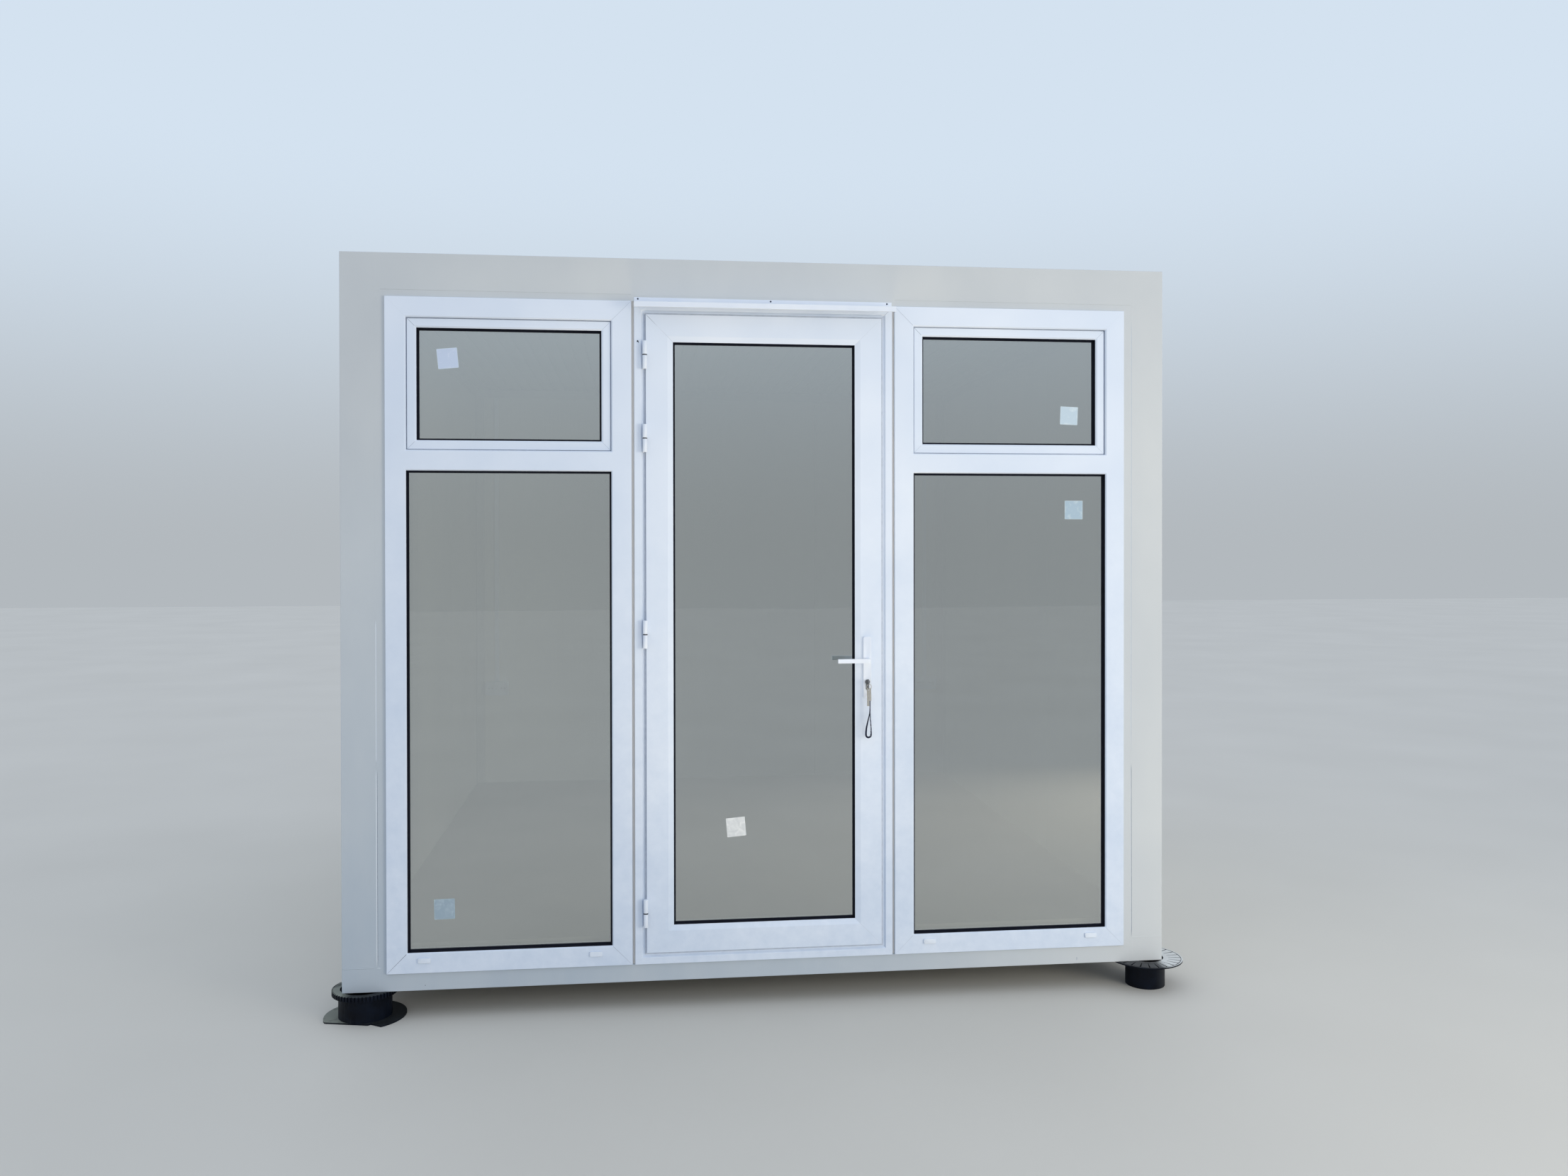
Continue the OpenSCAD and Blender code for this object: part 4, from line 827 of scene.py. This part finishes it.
# weld seams: at each corner of a PVC frame the mitre shows as a thin line, dark near the
# glass and fading outwards
seams = {
    "width": 0.0018,
    "crown": 0.6,  # width of the top as a share of the foot's
    "proud": 0.00012,
    "sunk": 0.0002,
    # a seam's width grows with its darkest tone: this share and this much for each unit
    "thinnest": 0.3,
    "growth": 1.6,
    "sashInset": 0.075,
    "sashHeight": 0.460,
    "sashBack": 0.010,
    # depth behind the piece's front face and distance inwards, as in the solids
    "window": [(0.0, 0.001), (0.0, 0.024), (0.0, 0.048), (0.0, 0.068), (0.004, 0.072)],
    "sash": [(0.0, 0.0003), (0.0, 0.014), (0.0, 0.026), (0.004, 0.032)],
    "jamb": [(0.0, 0.001), (0.0, 0.025), (0.008, 0.030), (0.008, 0.035)],
    "leaf": [(0.0, 0.0015), (0.0, 0.012), (0.0, 0.045), (0.0, 0.078), (0.006, 0.098)],
    # how dark the seam is at its outer and inner end, for the corners bottom left,
    # bottom right, top right and top left; the leaf's top left one changes on its way
    "windowLeft": ((0.2, 0.8), (0.16, 0.4), (0.16, 0.3), (0.0, 0.06)),
    "windowRight": ((0.12, 0.26), (0.14, 0.28), (0.02, 0.06), (0.2, 0.34)),
    "sashLeft": ((0.3, 0.3), (0.26, 0.24), (0.28, 0.26), (0.36, 0.38)),
    "sashRight": ((0.22, 0.22), (0.22, 0.22), (0.28, 0.28), (0.4, 0.4)),
    "jambTone": ((0.05, 0.1), (0.05, 0.1), (0.2, 0.36), (0.06, 0.12)),
    "leafTone": ((0.03, 0.06), (0.12, 0.2), (0.06, 0.14), (0.2, 0.6, 0.03, 0.03, 0.22)),
    # shares of the way inwards at which three and five tones stand
    "stops": {3: (0, 0.3, 1), 5: (0, 0.1, 0.2, 0.45, 1)},
}


def mitreSeams(name, low, high, faceY, line, tones, body):
    # four ribs on the diagonals of a frame's corners; the profile line is carried
    # inwards, and each rib is a flat bar of the seam's width across the diagonal
    line = np.array(line, float)
    share = (line[:, 1] - line[0, 1]) / (line[-1, 1] - line[0, 1])
    ribs, shade = [], []
    for (sx, sz), tone in zip(((1, 1), (-1, 1), (-1, -1), (1, -1)), tones):
        cx = low[0] if sx > 0 else high[0]
        cz = low[2] if sz > 0 else high[2]
        spine = np.stack([cx + sx * line[:, 1], faceY + line[:, 0], cz + sz * line[:, 1]],
                         axis=1)
        across = np.tile(np.array([sx, 0.0, -sz]) / math.sqrt(2), (len(line), 1))
        out = np.tile([0.0, -1.0, 0.0], (len(line), 1))
        half = seams["width"] / 2 * min(1.0, seams["thinnest"] + seams["growth"] * max(tone))
        top = half * seams["crown"]
        bar = np.array([[-half, -seams["sunk"]], [half, -seams["sunk"]],
                        [top, seams["proud"]], [-top, seams["proud"]]])
        ribs.append(sweep(spine, across, out, bar))
        if len(tone) == 2:
            tone = (tone[0], (tone[0] + tone[1]) / 2, tone[1])
        shade.append(np.repeat(np.interp(share, seams["stops"][len(tone)], tone), len(bar)))
    addPiece(name, *shells(ribs), "white_pvc", seamFinish, body, shade=np.concatenate(shade))


def addSeams(s):
    for side in ("Left", "Right"):
        low, high = spanOf("window_frame_" + side.lower())
        mitreSeams("seamsWindow" + side, low, high, low[1], s["window"], s["window" + side],
                   "cabin")
        inset = s["sashInset"]
        sashLow = np.array([low[0] + inset, 0, high[2] - inset - s["sashHeight"]])
        sashHigh = np.array([high[0] - inset, 0, high[2] - inset])
        mitreSeams("seamsSash" + side, sashLow, sashHigh, low[1] + s["sashBack"], s["sash"],
                   s["sash" + side], "cabin")
    low, high = spanOf("door_frame")
    mitreSeams("seamsDoorFrame", low, high, low[1], s["jamb"], s["jambTone"], "cabin")
    low, high = spanOf("door_leaf")
    mitreSeams("seamsDoorLeaf", low, high, low[1], s["leaf"], s["leafTone"], "door")


addSeams(seams)
print("weld seams drawn")

# blank labels on the panes; places are from the cabin's left edge and underside, and a
# positive turn lifts the right side
labels = {
    "round": 0.002,
    "arcPoints": 5,
    "proud": 0.0003,
    "rimInside": 0.93,  # size of the ring where the lighter edge ends
    "rimTone": 0.9,
    "transom": 1.9,  # metres above the underside; the panes over it stand further back
    "upperBack": 0.010,
    # body, x, z, turn, size, colour, flecks, edge, share of flecks; the colours differ
    # from label to label as painted light and painted reflection
    "places": [
        ("cabin", 0.3655, 2.2350, 5.5, 0.0715, "#d0dbee", "#dbe4f4", "#d8e6ee", 0.1),
        ("cabin", 0.3505, 0.2815, 1.1, 0.0720, "#9fb0bb", "#b5c4cb", "#afc2c6", 0.2),
        ("door", 1.3870, 0.5460, 4.6, 0.0690, "#d2d5d6", "#e8eaea", "#dde0e0", 0.3),
        ("cabin", 2.6440, 2.0555, -2.2, 0.0675, "#c8d8e2", "#dbe7ec", "#d3e0e4", 0.16),
        ("cabin", 2.6590, 1.7015, -0.3, 0.0695, "#afc3d0", "#c8d6dc", "#ccd9db", 0.16)],
}


def addLabels(s):
    postLow = spanOf("post_front_left")[0]
    windowGlass, doorGlass = spanOf("window_panes")[0][1], spanOf("door_pane")[0][1]
    # outline: four quarter arcs of radius r round the corners
    arc = np.radians(np.linspace(0, 90, s["arcPoints"]))
    for number, (body, x, z, turn, size, *look) in enumerate(s["places"], 1):
        half, r = size / 2, s["round"]
        outline = np.vstack([
            np.column_stack([sx * (half - r) + r * np.cos(arc + n * math.pi / 2),
                             sz * (half - r) + r * np.sin(arc + n * math.pi / 2)])
            for n, (sx, sz) in enumerate(((1, 1), (-1, 1), (-1, -1), (1, -1)))])
        back = s["upperBack"] if z > s["transom"] else 0.0
        y = doorGlass if body == "door" else windowGlass + back
        c, d = math.cos(math.radians(turn)), math.sin(math.radians(turn))
        turned = outline @ np.array([[c, d], [-d, c]]) + [postLow[0] + x, underside + z]
        middle = turned.mean(axis=0)
        inside = middle + (turned - middle) * s["rimInside"]
        points, faces = plateOf([(turned, y), (turned, y - s["proud"]),
                                 (inside, y - s["proud"])])
        shade = np.repeat([s["rimTone"], s["rimTone"], 0.0], len(outline))
        paper = paperSticker("blankPaperLabel_%d" % number, *look)
        addPiece("label_%d" % number, points, faces, "clear_glass", paper, body, shade=shade)


addLabels(labels)
print("labels placed")

# small marks of the front: a comma-shaped hole beside the top hinge, drawn as a dark
# plate of painted shade, and a speck and a scuff on the base rail
marks = {
    "points": 40,
    "bell": 16.0,  # degrees
    "proud": 0.0002,
    "sunk": 0.0004,
    # node that carries it, x, z, radius, tail and its direction in degrees, shade
    # the hole: a black plate, painted shade
    "frameHole": ("door_frame", -0.4650, 2.4052, 0.0031, 0.0036, -52, 1.0),
    "railSpeck": ("base_rail_front", -1.2147, 0.1209, 0.0016, 0.0, 0, 0.62),
    "railScuff": ("base_rail_front", 1.1667, 0.1167, 0.0012, 0.010, 90, 0.38),
}


def addMark(name, s):
    # outline: a radius plus a tail that falls off as a bell, exp(-(angle / bell)^2),
    # round one direction
    node, x, z, radius, tail, tailAt, tone = s[name]
    rim = circle(s["points"])
    off = (np.degrees(np.arctan2(rim[:, 1], rim[:, 0])) - tailAt + 180) % 360 - 180
    outline = [x, z] + rim * (radius + tail * np.exp(-(off / s["bell"]) ** 2))[:, None]
    face = spanOf(node)[0][1]
    points, faces = plateOf([(outline, face - s["proud"]), (outline, face + s["sunk"])])
    addPiece(name, points, faces, "white_pvc", seamFinish, shade=np.full(len(points), tone))


for name in ("frameHole", "railSpeck", "railScuff"):
    addMark(name, marks)

# screws: low domed heads on the drip cap, sheet screws with washers on the roof, and
# black discs in the wells of the double sockets, painted shade of their pin holes
screws = {
    "capAcross": (1.036, 1.515, 1.944),
    "capRise": 2.455,
    "capFace": 0.002,  # how far the flange's face stands before the cap's back
    "roofPitch": 0.25,
    "roofPans": 12,
    "roofJoists": (-1.1115, -0.3705, 0.3705, 1.1115),
    "panRise": 0.0015,
    "screwRise": 0.0014,
    "socketAcross": 1.306,
    "socketHeight": 0.820,
    "wells": (-0.036, 0.036),
    "wellDepth": 0.0085,
    "pins": (-0.0095, 0.0095),
    # radius and height in metres, rings and sides of each kind of head
    "capHead": (0.0032, 0.0014, 5, 18),
    "roofWasher": (0.010, 0.0022, 3, 14),
    "roofHead": (0.006, 0.0045, 3, 6),
    "pinHole": (0.0026, 0.0002, 2, 12),
    "skirt": 0.0006,  # how far a head's foot stands below its rim
}


def domeHead(centre, normal, radius, height, rings, sides):
    # a dome: height falls as 1 - r^2 from the middle to the rim
    centre, normal = np.array(centre, float), np.array(normal, float)
    side = unit(np.cross(normal, [0.3, 0.5, 0.9]))  # any direction beside the normal
    up = np.cross(normal, side)
    share = np.linspace(0, 1, rings)[1:, None, None]
    points = (centre + circle(sides) @ [side, up] * share * radius
              + normal * (1 - share ** 2) * height).reshape(-1, 3)
    foot = points[-sides:] - normal * screws["skirt"]
    points = np.vstack([centre + normal * height, points, foot])
    faces = [[0, 1 + i, 1 + (i + 1) % sides] for i in range(sides)]
    faces += gridFaces(rings, sides, closedColumns=True, start=1)
    last = 1 + (rings - 1) * sides
    faces.append([last + i for i in range(sides)][::-1])
    return points, faces


def addHeads(name, spots, normal, form, slotName, finish=None):
    # one piece of several equal heads
    addPiece(name, *shells([domeHead(spot, normal, *form) for spot in spots]), slotName,
             finish, smooth=True)


def addScrews(s):
    left = spanOf("base_corners")[0][0]
    capFace = spanOf("door_drip_cap")[1][1] - s["capFace"]
    caps = [(left + x, capFace, underside + s["capRise"]) for x in s["capAcross"]]
    addHeads("capScrews", caps, (0, -1, 0), s["capHead"], "nickel", screwFinish)
    sheetTop = spanOf("roof_sheet")[0][2] + s["panRise"]
    spots = [((i - (s["roofPans"] - 1) / 2) * s["roofPitch"], y, sheetTop)
             for i in range(s["roofPans"]) for y in s["roofJoists"]]
    addHeads("roofWashers", spots, (0, 0, 1), s["roofWasher"], "black_rubber")
    lifted = [(x, y, z + s["screwRise"]) for x, y, z in spots]
    addHeads("roofScrews", lifted, (0, 0, 1), s["roofHead"], "zinc_steel")
    wellFace = spanOf("wall_sockets")[0][1] + s["wellDepth"]
    holes = [(across + well + pin, wellFace, s["socketHeight"])
             for across in (-s["socketAcross"], s["socketAcross"])
             for well in s["wells"] for pin in s["pins"]]
    # black discs as painted shade of the sockets' pin holes
    addHeads("socketPinHoles", holes, (0, -1, 0), s["pinHole"], "black_rubber")


addScrews(screws)
print("marks and screws set")

# hinge washers: black rings that fill the joint between the two knuckles
washer = {"bore": 0.0045, "radius": 0.0083, "height": 0.0028, "sides": 40, "set": -0.0007,
          "knuckle": 0.008, "joints": (0.147, 1.147, 1.849, 2.147)}


def addWashers(s):
    axis = spanOf("hinge_frame_halves")[0][:2] + s["knuckle"]
    rim = circle(s["sides"])
    # a square section carried round the hinge axis: radius, share of the height
    section = [(s["bore"], -0.5), (s["radius"], -0.5), (s["radius"], 0.5), (s["bore"], 0.5)]
    rings = []
    for z in np.array(s["joints"]) + spanOf("door_leaf")[0][2] + s["set"]:
        ring = [np.column_stack([axis + rim * r, np.full(s["sides"], z + h * s["height"])])
                for r, h in section]
        rings.append((np.vstack(ring), gridFaces(len(section), s["sides"],
                                                 closedColumns=True, closedRows=True)))
    addPiece("hingeWashers", *shells(rings), "black_rubber")


addWashers(washer)
print("hinge washers fitted")

# stage: a pale warm floor that runs into a pale sky, and one wide soft lamp from the
# front right, whose light falls off to the left
stageLook = {
    "floorColour": "#d9d5cc",
    "floorTones": [(0.2, "#d6d2c9"), (0.8, "#dcd8cf")],
    "floorSize": 60.0,
    "skyColour": "#e0ebfb",
    "skyStrength": 0.92,
    "horizonSeen": "#b3b9be",
    "topSeen": "#d4e2f0",
    "horizonRise": (-0.01, 0.3),
}
# spread in degrees, power in watts
lamps = {
    "softLamp": {"place": (4.4, -5.9, 1.5), "aim": (1.1, -1.6, 1.3), "size": 2.6,
                 "spread": 110.0, "power": 50.0, "colour": (1.0, 0.93, 0.79)},
    # a weak warm lamp at the door's foot, aimed up, stands for the light that paving
    # throws under the cap
    "lowLamp": {"place": (0.0, -2.25, 0.12), "aim": (0.0, -1.66, 2.5), "size": 0.9,
                "spread": 60.0, "power": 2.3, "colour": (1.0, 0.84, 0.6)},
}


def makeLamp(name, s):
    # a round soft lamp that the glass doesn't mirror
    data = bpy.data.lights.new(name, "AREA")
    data.shape = "DISK"
    data.size = s["size"]
    data.energy = s["power"]
    data.color = s["colour"]
    data.spread = math.radians(s["spread"])
    lamp = bpy.data.objects.new(name, data)
    scene.collection.objects.link(lamp)
    lamp.location = s["place"]
    way = np.array(s["aim"]) - np.array(s["place"])
    lamp.rotation_euler = (math.atan2(math.hypot(way[0], way[1]), -way[2]), 0,
                           math.atan2(way[1], way[0]) - math.pi / 2)
    lamp.visible_glossy = False
    lamp.visible_camera = False


def makeFloor(s):
    half = s["floorSize"] / 2
    mesh = bpy.data.meshes.new("studioFloor")
    mesh.from_pydata([(-half, -half, 0), (half, -half, 0), (half, half, 0), (-half, half, 0)],
                     [], [(0, 1, 2, 3)])
    floor = bpy.data.objects.new("studioFloor", mesh)
    scene.collection.objects.link(floor)
    finish, shader, place = startFinish("studioFloorPaint", s["floorColour"], 0.9, specular=0.1)
    drive(colourRamp(noiseOf(place, 0.8, 2.0), s["floorTones"]), shader)
    mesh.materials.append(finish)


def makeSky(s):
    world = bpy.data.worlds.new("paleSky")
    scene.world = world
    world.use_nodes = True
    tree = world.node_tree
    lit = tree.nodes["Background"]
    lit.inputs["Color"].default_value = hexColour(s["skyColour"])
    lit.inputs["Strength"].default_value = s["skyStrength"]
    # what the camera and the mirror of the glass see: the floor's tone at the horizon,
    # rising softly to a pale sky
    way = (addNode(tree, "TexCoord"), "Generated")
    rise = remap(coordinate(way, "Z"), s["horizonRise"], interpolation_type="SMOOTHSTEP")
    ramp = colourRamp(rise, [(0.0, s["horizonSeen"]), (1.0, s["topSeen"])])
    seen = addNode(tree, "Background", {"Strength": 1.0}, {"Color": ramp})
    rays = addNode(tree, "LightPath")
    either = maths("MAXIMUM", (rays, "Is Camera Ray"), (rays, "Is Glossy Ray"))
    pick = addNode(tree, "MixShader", {}, {"Fac": either, 1: (lit, "Background"),
                                           2: (seen, "Background")})
    drive((pick, "Shader"), tree.nodes["World Output"], "Surface")


makeFloor(stageLook)
makeSky(stageLook)
for name, lamp in lamps.items():
    makeLamp(name, lamp)
scene.view_settings.view_transform = "Standard"
print("stage lit")
